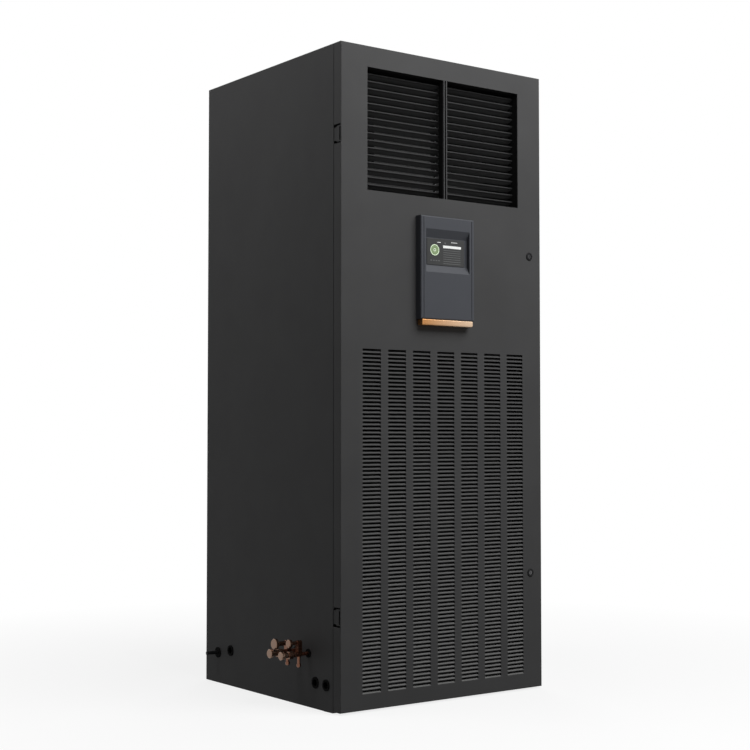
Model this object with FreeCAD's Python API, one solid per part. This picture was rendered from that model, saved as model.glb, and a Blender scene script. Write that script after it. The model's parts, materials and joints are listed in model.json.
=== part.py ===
"""Free-standing precision air conditioner: a sheet-metal cabinet with a louvred front door.

The frame stands on the floor at z = 0, centred on its footprint. The door faces -Y and +X is to the
right of someone who stands in front of it. All sizes are in millimetres.
"""
import FreeCAD
import Part
import math
import os

# Cabinet
CABINET_WIDTH = 700.0
CABINET_DEPTH = 690.0
CABINET_HEIGHT = 1750.0
PANEL_SHEET = 1.5
PANEL_FLOOR_GAP = 1.0
PANEL_FLANGE = 20.0
BASE_HEIGHT = 45.0
BASE_TUBE_WIDTH = 40.0
FRAME_SHEET = 2.0
FRAME_SETBACK = 5.0
STILE_WIDTH = 30.5
STILE_DEPTH = 12.0
RAIL_HEIGHT = 20.0
RAIL_DEPTH = 30.0
LOW_RAIL_FROM_TOP = 795.0
HIGH_RAIL_FROM_TOP = 415.0
SEAT_GAP = 0.2
RUNNING_CLEARANCE = 0.05

# Door
DOOR_DEPTH = 33.0
DOOR_SEAM = 1.6
DOOR_FLOOR_GAP = 5.0
DOOR_LIP = 20.0
GASKET_WIDTH = 7.0
GASKET_EDGE = 1.0
GASKET_FREE_GAP = 0.3

# Door hinges
HINGE_FROM_TOP = 242.0
HINGE_FROM_FLOOR = 249.0
HINGE_INSET = 6.0
HINGE_FROM_FACE = 21.0
HINGE_BLOCK_HEIGHT = 36.0
HINGE_BLOCK_WIDTH = 10.5
HINGE_BLOCK_REACH = 11.0
HINGE_PIN_RADIUS = 3.0
HINGE_EAR = 3.0
HINGE_PLATE = 2.5
HINGE_PLATE_WIDTH = 18.0
HINGE_EAR_RADIUS = 4.3
HINGE_NOTCH_FROM_FACE = 2.5
HINGE_NOTCH_MARGIN = 7.5

# Door locks
LOCK_FROM_SIDE = 42.5
UPPER_LOCK_FROM_TOP = 520.0
LOWER_LOCK_Z = 329.0
LOCK_FLANGE_RADIUS = 11.5
LOCK_FLANGE_RISE = 2.5
LOCK_BARREL_RADIUS = 9.0
LOCK_NUT_RADIUS = 12.5
LOCK_NUT_HEIGHT = 5.0
LOCK_BARREL_LENGTH = 24.0
LOCK_CORE_RADIUS = 6.0
LOCK_KEY_SLOT = (1.6, 8.0, 1.5)
LOCK_CAM_GAP = 1.5
LOCK_CAM_SHEET = 2.0
LOCK_CAM_REACH = 34.0
LOCK_CAM_HALF_WIDTH = 7.0

# Supply outlet in the door
OUTLET_SIDE_MARGIN = 85.0
OUTLET_HEIGHT = 328.0
OUTLET_TOP_MARGIN = 56.0
OUTLET_LAP = 2.0
OUTLET_WALL = 2.0
OUTLET_FRAME_DEPTH = 60.0
MULLION_WIDTH = 12.0
MULLION_WALL = 3.5
BLADE_COUNT = 16
BLADE_PITCH = 19.8
BLADE_CHORD = 24.0
BLADE_RECESS = 23.0
BLADE_NOSE_RADIUS = 2.4
BLADE_TAIL_RADIUS = 0.8
BLADE_END_GAP = 1.0
BLADE_PIN_RADIUS = 2.5
BLADE_PIN_PAST = 1.0
BLADE_REST_TILT = 25.0
MULLION_BLADE_GAP = 1.0
LINK_REACH = 20.0
LINK_WIDTH = 8.0
LINK_SHEET = 2.0
LINK_END = 4.0
LINK_PIN_RADIUS = 1.5
LUG_WIDTH = 4.0
LUG_HEIGHT = 2.4
LUG_GAP = 0.3

# Return grille in the door
LOUVRE_WIDTH = 59.5
COLUMN_PITCH = 83.5
ROW_PITCH = 10.594
LOUVRE_MOUTH = 4.2
LOUVRE_LAND = 1.2
LOUVRE_SINK = 7.0
LOUVRE_SHEET = 1.2
LOUVRE_FIT = 0.1
GRILLE_BOTTOM = 45.9
GRILLE_MARGIN = 12.0
GRILLE_SIDE_MARGIN = 50.0

# Display
DISPLAY_WIDTH = 186.5
DISPLAY_HEIGHT = 297.0
DISPLAY_DEPTH = 23.0
DISPLAY_CENTRE_X = -10.0
DISPLAY_FROM_TOP = 735.0
DISPLAY_CORNER = 3.0
TRIM_HEIGHT = 17.0
TRIM_INSET = 5.0
TRIM_ROUND = 6.0
RECESS_WIDTH = 152.0
RECESS_BOTTOM = 145.0
RECESS_TOP = 262.0
RECESS_DEPTH = 12.0
RECESS_LOW_SLOPE = 20.0
RECESS_HIGH_SLOPE = 8.0
SCREEN_WIDTH = 130.0
SCREEN_HEIGHT = 72.0
SCREEN_FROM_SLOPE = 1.0
SCREEN_SHEET = 1.5
DISPLAY_BOX_WIDTH = 120.0
DISPLAY_BOX_HEIGHT = 160.0
DISPLAY_BOX_DEPTH = 18.0

# Fan section
DECK_SHEET = 1.5
BULKHEAD_FROM_FRAME = 157.0
FAN_AXIS_FROM_BULKHEAD = 230.0
FAN_AXIS_FROM_TOP = 300.0
FAN_CENTRE_X = 200.0
HOUSING_WIDTH = 200.0
VOLUTE_RADIUS = 130.0
VOLUTE_STEP = 22.0
VOLUTE_OFFSET = -8.0
CUTOFF_HEIGHT = 30.0
CUTOFF_ROUND = 8.0
INLET_RADIUS = 92.0
WHEEL_RADIUS = 115.0
WHEEL_INNER_RADIUS = 96.0
WHEEL_SIDE_GAP = 6.0
WHEEL_RING = 5.0
WHEEL_DISC = 3.0
WHEEL_BLADES = 36
WHEEL_BLADE_SHEET = 1.2
WHEEL_BLADE_BOW = 4.0
WHEEL_HUB_RADIUS = 22.0
WHEEL_HUB_LENGTH = 40.0
SHAFT_RADIUS = 10.0
MOTOR_RADIUS = 62.0
MOTOR_LENGTH = 160.0
MOTOR_FOOT = 10.0
MOTOR_FOOT_WIDTH = 80.0
MOTOR_BRACKET_SHEET = 4.0
MOTOR_BRACKET_WIDTH = 120.0

# Filters
FILTER_COUNT = 2
FILTER_SIDE_GAP = 2.0
FILTER_FROM_FRAME = 12.0
FILTER_DEPTH = 46.0
FILTER_BAR = 14.0
FILTER_PLEATS = 16
FILTER_MEDIA_SHEET = 1.5
RACK_SHEET = 2.0
RACK_REACH = 48.0
RACK_WEB = 17.0
RACK_BOTTOM = 110.0

# Cooling coil
COIL_LEAN_ANGLE = 24.0
COIL_FROM_LEFT = 80.0
COIL_FROM_RIGHT = 60.0
COIL_THICKNESS = 66.0
COIL_LENGTH = 760.0
COIL_FOOT_FROM_FRAME = 147.0
COIL_FOOT_Z = 170.0
COIL_PLATE = 2.0
COIL_BENDS = 10
COIL_BEND_RADIUS = 19.0
COIL_TUBE_RADIUS = 5.0
COIL_BEND_ROW = 16.0
PAN_FLOOR_Z = 118.0
PAN_DEPTH = 42.0
PAN_FROM_LEFT = 50.0
PAN_FROM_RIGHT = 30.0
PAN_FROM_FRAME = 79.0
PAN_REACH = 133.0
PAN_SUPPORT_X = 180.0
PAN_SUPPORT_WIDTH = 40.0

# Compressor
COMPRESSOR_FROM_RIGHT = 200.0
COMPRESSOR_FROM_REAR = 135.0
COMPRESSOR_RADIUS = 82.0
COMPRESSOR_HEIGHT = 400.0
COMPRESSOR_DOME = 40.0
COMPRESSOR_PLATE = 4.0
COMPRESSOR_PLATE_SIDE = 220.0
COMPRESSOR_FOOT_SPACING = 180.0
COMPRESSOR_FOOT_RADIUS = 15.0
COMPRESSOR_FOOT_HEIGHT = 22.0
COMPRESSOR_SUCTION_Z = 300.0
TERMINAL_BOX = (60.0, 40.0, 70.0)

# Refrigerant pipes and stop valves
GAS_PIPE_RADIUS = 8.0
LIQUID_PIPE_RADIUS = 5.0
SUCTION_PIPE_RADIUS = 11.0
PIPE_BEND = 24.0
PIPE_FROM_SIDE = 28.0
SUCTION_FROM_SIDE = 50.0
GAS_HIGH_Z = 540.0
GAS_LOW_Z = 200.0
LIQUID_HIGH_Z = 520.0
DRIER_RADIUS = 22.0
DRIER_BOTTOM = 260.0
DRIER_LENGTH = 120.0
DRIER_CONE = 18.0
EXPANSION_VALVE_GAP = 40.0
EXPANSION_VALVE_RADIUS = 12.0
EXPANSION_VALVE_LENGTH = 40.0
VALVE_Z = 142.0
GAS_VALVE_FROM_FACE = 202.0
LIQUID_VALVE_FROM_FACE = 148.0
VALVE_START = 25.0
VALVE_CAP_END = 90.0
VALVE_CAP_ROUND = 2.0
VALVE_CAP_LENGTH = 9.0
VALVE_NECK_INSET = 4.0
VALVE_NUT_START = 52.0
VALVE_NUT_LENGTH = 12.0
VALVE_BLOCK_LENGTH = 12.0
GAS_SPINDLE = (23.5, 14.5, 76.0)
LIQUID_SPINDLE = (30.0, 11.0, 66.0)
GAS_VALVE_RADIUS = 12.0
LIQUID_VALVE_RADIUS = 11.0
SERVICE_PORT_RADIUS = 4.5
SERVICE_PORT_LENGTH = 18.0
SERVICE_CAP_RADIUS = 6.0

# Entries in the left panel
POWER_ENTRY_FROM_FACE = 115.0
SIGNAL_ENTRY_FROM_FACE = 65.0
CABLE_ENTRY_Z = 69.0
WATER_ENTRY_FROM_REAR = 140.0
WATER_ENTRY_Z = 101.0
DRAIN_EXIT_FROM_REAR = 69.0
DRAIN_EXIT_Z = 88.0
ENTRY_HOLE_RADIUS = 12.5
ENTRY_BORE_RADIUS = 9.5
PIPE_HOLE_WALL = 4.0
GROMMET_LAP = 2.5
GROMMET_RIM = 2.5
DRAIN_TUBE_RADIUS = 4.2
DRAIN_SPIGOT_RADIUS = 5.0
DRAIN_SPIGOT_LENGTH = 36.0
DRAIN_FROM_SIDE = 20.0
DRAIN_BEND = 13.0

# Electrical box
BOX_FROM_SIDE = 60.0
BOX_DEPTH = 90.0
BOX_FROM_FRAME = 17.0
BOX_SHEET = 1.5
DIN_RAIL_HEIGHT = 35.0
DIN_RAIL_DEPTH = 7.5
CONTACTOR = (45.0, 50.0, 85.0)
CONTACTOR_COUNT = 5
TERMINAL = (12.0, 40.0, 60.0)
TERMINAL_COUNT = 20
SWITCH_BODY = (60.0, 44.0, 70.0)
SWITCH_FROM_SIDE = 120.0
SWITCH_HANDLE_RADIUS = 22.0
SWITCH_HANDLE_DEPTH = 6.0
SWITCH_GRIP = (9.0, 12.0, 40.0)
SWITCH_SHAFT_RADIUS = 4.0

# Faces worked out from the sizes above
LEFT = -CABINET_WIDTH / 2
RIGHT = CABINET_WIDTH / 2
DOOR_FACE = -CABINET_DEPTH / 2
REAR = CABINET_DEPTH / 2
TOP = CABINET_HEIGHT
INNER_LEFT = LEFT + PANEL_SHEET
INNER_RIGHT = RIGHT - PANEL_SHEET
INNER_REAR = REAR - PANEL_SHEET
INNER_TOP = TOP - PANEL_SHEET
DOOR_SKIN_BACK = DOOR_FACE + PANEL_SHEET
DOOR_BACK = DOOR_FACE + DOOR_DEPTH
BODY_FRONT = DOOR_BACK + DOOR_SEAM
FRAME_FACE = DOOR_BACK + FRAME_SETBACK
FRAME_INNER_RIGHT = INNER_RIGHT - STILE_WIDTH
LOW_RAIL_Z = TOP - LOW_RAIL_FROM_TOP
HIGH_RAIL_Z = TOP - HIGH_RAIL_FROM_TOP
BASE_TOP = BASE_HEIGHT + FRAME_SHEET
HINGE_X = LEFT + HINGE_INSET
HINGE_Y = DOOR_FACE + HINGE_FROM_FACE
HINGE_HEIGHTS = (TOP - HINGE_FROM_TOP, HINGE_FROM_FLOOR)
LOCK_X = RIGHT - LOCK_FROM_SIDE
LOCK_HOLE_RADIUS = LOCK_BARREL_RADIUS + SEAT_GAP
LOCK_HEIGHTS = (TOP - UPPER_LOCK_FROM_TOP, LOWER_LOCK_Z)
OUTLET_WIDTH = CABINET_WIDTH - 2 * OUTLET_SIDE_MARGIN
OUTLET_TOP = TOP - OUTLET_TOP_MARGIN
OUTLET_BOTTOM = OUTLET_TOP - OUTLET_HEIGHT
OUTLET_INNER_X = OUTLET_WIDTH / 2 + OUTLET_LAP
OUTLET_OUTER_X = OUTLET_INNER_X + OUTLET_WALL
BLADE_AXIS_Y = DOOR_FACE + BLADE_RECESS + BLADE_CHORD / 2
BLADE_FIRST_Z = (OUTLET_TOP + OUTLET_BOTTOM - BLADE_PITCH * (BLADE_COUNT - 1)) / 2
LOUVRE_COLUMNS = int((CABINET_WIDTH - 2 * GRILLE_SIDE_MARGIN) / COLUMN_PITCH)
LOUVRE_ROWS = int((LOW_RAIL_Z - GRILLE_BOTTOM) / ROW_PITCH)
GRILLE_HEIGHT = LOUVRE_ROWS * ROW_PITCH
GRILLE_HALF_WIDTH = ((LOUVRE_COLUMNS - 1) * COLUMN_PITCH + LOUVRE_WIDTH) / 2
DISPLAY_BOTTOM = TOP - DISPLAY_FROM_TOP
DECK_Z = HIGH_RAIL_Z + RAIL_HEIGHT
BULKHEAD_Y = FRAME_FACE + BULKHEAD_FROM_FRAME
FAN_AXIS_Y = BULKHEAD_Y + FAN_AXIS_FROM_BULKHEAD
FAN_AXIS_Z = TOP - FAN_AXIS_FROM_TOP
COIL_LEFT = LEFT + COIL_FROM_LEFT
COIL_RIGHT = RIGHT - COIL_FROM_RIGHT
COIL_FOOT_Y = FRAME_FACE + COIL_FOOT_FROM_FRAME
PAN_LEFT = LEFT + PAN_FROM_LEFT
PAN_RIGHT = RIGHT - PAN_FROM_RIGHT
PAN_FRONT = FRAME_FACE + PAN_FROM_FRAME
PAN_REAR = PAN_FRONT + PAN_REACH
COMPRESSOR_X = RIGHT - COMPRESSOR_FROM_RIGHT
COMPRESSOR_Y = REAR - COMPRESSOR_FROM_REAR
PIPE_CORRIDOR_X = LEFT + PIPE_FROM_SIDE
SUCTION_CORRIDOR_X = LEFT + SUCTION_FROM_SIDE
DRAIN_CORRIDOR_X = LEFT + DRAIN_FROM_SIDE
GAS_VALVE_Y = DOOR_FACE + GAS_VALVE_FROM_FACE
LIQUID_VALVE_Y = DOOR_FACE + LIQUID_VALVE_FROM_FACE
POWER_ENTRY = (DOOR_FACE + POWER_ENTRY_FROM_FACE, CABLE_ENTRY_Z)
SIGNAL_ENTRY = (DOOR_FACE + SIGNAL_ENTRY_FROM_FACE, CABLE_ENTRY_Z)
WATER_ENTRY = (REAR - WATER_ENTRY_FROM_REAR, WATER_ENTRY_Z)
DRAIN_EXIT = (REAR - DRAIN_EXIT_FROM_REAR, DRAIN_EXIT_Z)
BOX_WIDTH = CABINET_WIDTH - 2 * BOX_FROM_SIDE
SWITCH_X = RIGHT - SWITCH_FROM_SIDE


def point(x, y, z):
    """Return a point or direction."""
    return FreeCAD.Vector(x, y, z)


def block(x_range, y_range, z_range):
    """Return a box between pairs of limits."""
    x, y, z = x_range[0], y_range[0], z_range[0]
    return Part.makeBox(x_range[1] - x, y_range[1] - y, z_range[1] - z, point(x, y, z))


def around(centre, size):
    """Return a pair of limits of the given size about a centre."""
    return (centre - size / 2, centre + size / 2)


def rod(start, end, radius):
    """Return a round rod between two points."""
    direction = end - start
    return Part.makeCylinder(radius, direction.Length, start, direction)


def prism(corners, direction):
    """Return the solid swept by a flat outline of corners along a direction."""
    outline = Part.makePolygon(corners + corners[:1])
    return Part.Face(outline).extrude(direction)


def turned(profile, start, direction):
    """Return a revolved solid from (radius, distance) corners, placed along a direction."""
    corners = [point(radius, 0, along) for radius, along in profile]
    outline = Part.makePolygon(corners + corners[:1])
    solid = Part.Face(outline).revolve(point(0, 0, 0), point(0, 0, 1), 360)
    solid.Placement = FreeCAD.Placement(start, FreeCAD.Rotation(point(0, 0, 1), direction))
    return solid


def bent_path(stops, bend):
    """Return a wire of straight runs through the stops, with tangent arcs at the inner ones."""
    edges = []
    start = stops[0]
    for before, corner, after in zip(stops, stops[1:], stops[2:]):
        back = (before - corner).normalize()
        ahead = (after - corner).normalize()
        turn = math.pi - back.getAngle(ahead)
        setback = bend * math.tan(turn / 2)
        arc_start = corner + back * setback
        arc_end = corner + ahead * setback
        inward = (back + ahead).normalize()
        middle = corner + inward * (bend / math.cos(turn / 2) - bend)
        edges.append(Part.LineSegment(start, arc_start).toShape())
        edges.append(Part.Arc(arc_start, middle, arc_end).toShape())
        start = arc_end
    edges.append(Part.LineSegment(start, stops[-1]).toShape())
    return Part.Wire(edges)


def pipe(stops, radius, bend=PIPE_BEND):
    """Return a round pipe along straight runs joined by tangent bends."""
    path = bent_path(stops, bend)
    section = Part.Wire(Part.makeCircle(radius, stops[0], stops[1] - stops[0]))
    return path.makePipeShell([section], True, False)


def mirrored(shape):
    """Return the shape mirrored from right to left."""
    return shape.mirror(point(0, 0, 0), point(1, 0, 0))


def group(solids):
    """Return separate solids as one shape."""
    return Part.makeCompound(solids)


def welded(first, others):
    """Return solids joined into one, with seams between flush faces removed."""
    return first.fuse(others).removeSplitter()


# Cabinet


def base_frame():
    """Hollow members under a floor plate, which the compressor and the filters stand on."""
    depth = (FRAME_FACE, INNER_REAR)
    height = (0, BASE_HEIGHT)
    members = []
    for y_range in ((depth[0], depth[0] + BASE_TUBE_WIDTH), (depth[1] - BASE_TUBE_WIDTH, depth[1])):
        tube = block((INNER_LEFT, INNER_RIGHT), y_range, height)
        bore = block(
            (INNER_LEFT, INNER_RIGHT),
            (y_range[0] + FRAME_SHEET, y_range[1] - FRAME_SHEET),
            (FRAME_SHEET, BASE_HEIGHT - FRAME_SHEET),
        )
        members.append(tube.cut(bore))
    side_run = (depth[0] + BASE_TUBE_WIDTH, depth[1] - BASE_TUBE_WIDTH)
    side = block((INNER_RIGHT - BASE_TUBE_WIDTH, INNER_RIGHT), side_run, height)
    side_bore = block(
        (INNER_RIGHT - BASE_TUBE_WIDTH + FRAME_SHEET, INNER_RIGHT - FRAME_SHEET),
        side_run,
        (FRAME_SHEET, BASE_HEIGHT - FRAME_SHEET),
    )
    side = side.cut(side_bore)
    members += [side, mirrored(side)]
    between = (BASE_TUBE_WIDTH + INNER_LEFT, INNER_RIGHT - BASE_TUBE_WIDTH)
    cross = block(between, around(0, BASE_TUBE_WIDTH), height)
    cross_bore = block(
        between, around(0, BASE_TUBE_WIDTH - 2 * FRAME_SHEET), (FRAME_SHEET, BASE_HEIGHT - FRAME_SHEET)
    )
    members.append(cross.cut(cross_bore))
    members.append(block((INNER_LEFT, INNER_RIGHT), depth, (BASE_HEIGHT, BASE_TOP)))
    return group(members)


def front_frame():
    """Two angle stiles and three channel rails, which the door shuts on."""
    heights = (BASE_TOP, INNER_TOP)
    flange = block(
        (FRAME_INNER_RIGHT, INNER_RIGHT), (FRAME_FACE, FRAME_FACE + FRAME_SHEET), heights
    )
    web = block(
        (INNER_RIGHT - FRAME_SHEET, INNER_RIGHT), (FRAME_FACE, FRAME_FACE + STILE_DEPTH), heights
    )
    stile = welded(flange, [web])
    members = [stile, mirrored(stile)]
    across = (-FRAME_INNER_RIGHT, FRAME_INNER_RIGHT)
    top_rail = OUTLET_TOP + OUTLET_LAP + OUTLET_WALL + RAIL_HEIGHT / 2
    for bottom, top in (
        (LOW_RAIL_Z, LOW_RAIL_Z + RAIL_HEIGHT),
        (HIGH_RAIL_Z, DECK_Z),
        (top_rail, INNER_TOP),
    ):
        rail = block(across, (FRAME_FACE, FRAME_FACE + RAIL_DEPTH), (bottom, top))
        hollow = block(
            across,
            (FRAME_FACE + FRAME_SHEET, FRAME_FACE + RAIL_DEPTH),
            (bottom + FRAME_SHEET, top - FRAME_SHEET),
        )
        members.append(rail.cut(hollow))
    return group(members)


def entry_hole(place, radius):
    """Return the round cutter of a hole through the left panel."""
    return rod(
        point(LEFT - PANEL_SHEET, place[0], place[1]),
        point(INNER_LEFT + PANEL_SHEET, place[0], place[1]),
        radius,
    )


def pipe_hole_radius(pipe_radius):
    """Return the panel hole of a refrigerant pipe, with room for its grommet."""
    return pipe_radius + PIPE_HOLE_WALL


def entries():
    """Return the place, hole radius and bore radius of each hole in the left panel."""
    listed = [(place, ENTRY_HOLE_RADIUS, ENTRY_BORE_RADIUS)
              for place in (POWER_ENTRY, SIGNAL_ENTRY, WATER_ENTRY)]
    listed.append((DRAIN_EXIT, ENTRY_HOLE_RADIUS, DRAIN_TUBE_RADIUS + RUNNING_CLEARANCE))
    for y, radius in ((GAS_VALVE_Y, GAS_PIPE_RADIUS), (LIQUID_VALVE_Y, LIQUID_PIPE_RADIUS)):
        listed.append(((y, VALVE_Z), pipe_hole_radius(radius), radius + RUNNING_CLEARANCE))
    return listed


def side_sheet():
    """Return the plain right-hand side sheet."""
    return block((INNER_RIGHT, RIGHT), (BODY_FRONT, REAR), (PANEL_FLOOR_GAP, INNER_TOP))


def right_panel():
    """Plain side sheet."""
    return side_sheet()


def left_panel():
    """Side sheet with the cable, water, drain and pipe holes."""
    return mirrored(side_sheet()).cut([entry_hole(place, hole) for place, hole, bore in entries()])


def rear_panel():
    """Rear sheet between the sides, with its two edges folded forwards."""
    heights = (PANEL_FLOOR_GAP, INNER_TOP)
    sheet = block((INNER_LEFT, INNER_RIGHT), (INNER_REAR, REAR), heights)
    folded_heights = (BASE_TOP, INNER_TOP - PANEL_FLANGE - PANEL_SHEET)
    fold = block(
        (INNER_RIGHT - PANEL_SHEET, INNER_RIGHT), (INNER_REAR - PANEL_FLANGE, INNER_REAR), folded_heights
    )
    return welded(sheet, [fold, mirrored(fold)])


def top_panel():
    """Lid with its side edges folded down inside the side panels."""
    sheet = block((LEFT, RIGHT), (BODY_FRONT, REAR), (INNER_TOP, TOP))
    fold_run = (FRAME_FACE + RAIL_DEPTH + PANEL_FLANGE, BULKHEAD_Y - PANEL_FLANGE)
    rear_run = (BULKHEAD_Y + PANEL_FLANGE, INNER_REAR - PANEL_SHEET)
    folds = []
    for run in (fold_run, rear_run):
        fold = block((INNER_RIGHT - PANEL_SHEET, INNER_RIGHT), run, (INNER_TOP - PANEL_FLANGE, INNER_TOP))
        folds += [fold, mirrored(fold)]
    return welded(sheet, folds)


def side_grommets():
    """Rubber grommets that line the holes in the left panel."""
    rings = []
    for place, hole, bore in entries():
        rim = hole + GROMMET_LAP
        outline = (
            (bore, 0),
            (rim, 0),
            (rim, GROMMET_RIM),
            (hole, GROMMET_RIM),
            (hole, GROMMET_RIM + PANEL_SHEET),
            (rim, GROMMET_RIM + PANEL_SHEET),
            (rim, 2 * GROMMET_RIM + PANEL_SHEET),
            (bore, 2 * GROMMET_RIM + PANEL_SHEET),
        )
        start = point(LEFT - GROMMET_RIM, place[0], place[1])
        rings.append(turned(outline, start, point(1, 0, 0)))
    return group(rings)


# Door


def grille_window():
    """Return the outline limits of the return grille plate."""
    half = GRILLE_HALF_WIDTH + GRILLE_MARGIN
    return (-half, half), (GRILLE_BOTTOM - GRILLE_MARGIN, GRILLE_BOTTOM + GRILLE_HEIGHT + GRILLE_MARGIN)


def widened(limits, gap):
    """Return a pair of limits moved outwards by a gap."""
    return (limits[0] - gap, limits[1] + gap)


def display_box_limits():
    """Return the limits of the display's rear box across the door."""
    centre_z = DISPLAY_BOTTOM + DISPLAY_HEIGHT / 2
    return around(DISPLAY_CENTRE_X, DISPLAY_BOX_WIDTH), around(centre_z, DISPLAY_BOX_HEIGHT)


def door_panel():
    """Folded door pan with its windows, hinge notches and lock holes."""
    heights = (DOOR_FLOOR_GAP, TOP)
    pan = block((LEFT, RIGHT), (DOOR_FACE, DOOR_BACK), heights)
    inner_heights = widened(heights, -PANEL_SHEET)
    hollow = block(
        (INNER_LEFT, INNER_RIGHT), (DOOR_SKIN_BACK, DOOR_BACK - PANEL_SHEET), inner_heights
    )
    lip_opening = block(
        (INNER_LEFT + DOOR_LIP, INNER_RIGHT - DOOR_LIP),
        (DOOR_SKIN_BACK, DOOR_BACK),
        widened(inner_heights, -DOOR_LIP),
    )
    through = (DOOR_FACE, DOOR_SKIN_BACK)
    outlet = block(around(0, OUTLET_WIDTH), through, (OUTLET_BOTTOM, OUTLET_TOP))
    grille_x, grille_z = grille_window()
    grille = block(widened(grille_x, SEAT_GAP), through, widened(grille_z, SEAT_GAP))
    box_x, box_z = display_box_limits()
    display = block(widened(box_x, SEAT_GAP), through, widened(box_z, SEAT_GAP))
    cuts = [hollow, lip_opening, outlet, grille, display]
    for z in HINGE_HEIGHTS:
        cuts.append(block(
            (LEFT, INNER_LEFT + DOOR_LIP),
            (DOOR_FACE + HINGE_NOTCH_FROM_FACE, DOOR_BACK),
            around(z, HINGE_BLOCK_HEIGHT + 2 * HINGE_NOTCH_MARGIN),
        ))
    for z in LOCK_HEIGHTS:
        cuts.append(rod(point(LOCK_X, DOOR_FACE, z), point(LOCK_X, DOOR_SKIN_BACK, z), LOCK_HOLE_RADIUS))
    return pan.cut(cuts)


def door_gasket():
    """Foam strips round the door's lip, which meet the cabinet's front frame."""
    depth = (DOOR_BACK, FRAME_FACE - GASKET_FREE_GAP)
    inner_x = INNER_RIGHT - DOOR_LIP + GASKET_EDGE
    bottom = DOOR_FLOOR_GAP + PANEL_SHEET + DOOR_LIP - GASKET_EDGE
    top = INNER_TOP - DOOR_LIP + GASKET_EDGE
    side = block((inner_x, inner_x + GASKET_WIDTH), depth, (bottom - GASKET_WIDTH, top + GASKET_WIDTH))
    across = (-inner_x, inner_x)
    low = block(across, depth, (bottom - GASKET_WIDTH, bottom))
    high = block(across, depth, (top, top + GASKET_WIDTH))
    return group([side, mirrored(side), low, high])


def return_grille():
    """Flush plate with one tall window for each column of louvres."""
    grille_x, grille_z = grille_window()
    plate = block(grille_x, (DOOR_FACE, DOOR_SKIN_BACK), grille_z)
    windows = []
    for column in range(LOUVRE_COLUMNS):
        centre = (column - (LOUVRE_COLUMNS - 1) / 2) * COLUMN_PITCH
        windows.append(block(
            around(centre, LOUVRE_WIDTH),
            (DOOR_FACE, DOOR_SKIN_BACK),
            (GRILLE_BOTTOM, GRILLE_BOTTOM + GRILLE_HEIGHT),
        ))
    return plate.cut(windows)


def grille_louvres():
    """Inclined louvres in every window: each leans back from its foot below an open mouth."""
    louvres = []
    length = LOUVRE_WIDTH - 2 * LOUVRE_FIT
    for column in range(LOUVRE_COLUMNS):
        left = (column - (LOUVRE_COLUMNS - 1) / 2) * COLUMN_PITCH - length / 2
        for row in range(LOUVRE_ROWS):
            low = GRILLE_BOTTOM + row * ROW_PITCH + LOUVRE_FIT
            fold = low + LOUVRE_LAND
            high = low + ROW_PITCH - LOUVRE_MOUTH
            front = [
                point(left, DOOR_FACE, low),
                point(left, DOOR_FACE, fold),
                point(left, DOOR_FACE + LOUVRE_SINK, high),
            ]
            back = [corner + point(0, LOUVRE_SHEET, 0) for corner in reversed(front)]
            louvres.append(prism(front + back, point(length, 0, 0)))
    return group(louvres)


def hinge_blocks():
    """Bored blocks on the front frame, one in each notch of the door."""
    blocks = []
    for z in HINGE_HEIGHTS:
        body = block(
            (INNER_LEFT, INNER_LEFT + HINGE_BLOCK_WIDTH),
            (HINGE_Y - HINGE_BLOCK_REACH, FRAME_FACE),
            around(z, HINGE_BLOCK_HEIGHT),
        )
        bore = rod(
            point(HINGE_X, HINGE_Y, z - HINGE_BLOCK_HEIGHT),
            point(HINGE_X, HINGE_Y, z + HINGE_BLOCK_HEIGHT),
            HINGE_PIN_RADIUS + RUNNING_CLEARANCE,
        )
        blocks.append(body.cut(bore))
    return group(blocks)


def hinge_brackets():
    """Brackets inside the door skin, whose two ears hold the hinge pin above and below the block."""
    pieces = []
    for z in HINGE_HEIGHTS:
        ear_start = HINGE_BLOCK_HEIGHT / 2 + RUNNING_CLEARANCE
        ear_end = ear_start + HINGE_EAR
        plate = block(
            (INNER_LEFT, INNER_LEFT + HINGE_PLATE_WIDTH),
            (DOOR_SKIN_BACK, DOOR_SKIN_BACK + HINGE_PLATE),
            (z - ear_end, z + ear_end),
        )
        ears = []
        for side in (-1, 1):
            low, high = sorted((z + side * ear_start, z + side * ear_end))
            arm = block(
                around(HINGE_X, 2 * HINGE_EAR_RADIUS), (DOOR_SKIN_BACK, HINGE_Y), (low, high)
            )
            eye = rod(point(HINGE_X, HINGE_Y, low), point(HINGE_X, HINGE_Y, high), HINGE_EAR_RADIUS)
            ears += [arm, eye]
        pin_low = point(HINGE_X, HINGE_Y, z - ear_end)
        pin_high = point(HINGE_X, HINGE_Y, z + ear_end)
        pin = rod(pin_low, pin_high, HINGE_PIN_RADIUS)
        pieces.append(welded(plate, ears).cut(pin))
        pieces.append(pin)
    return group(pieces)


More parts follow.
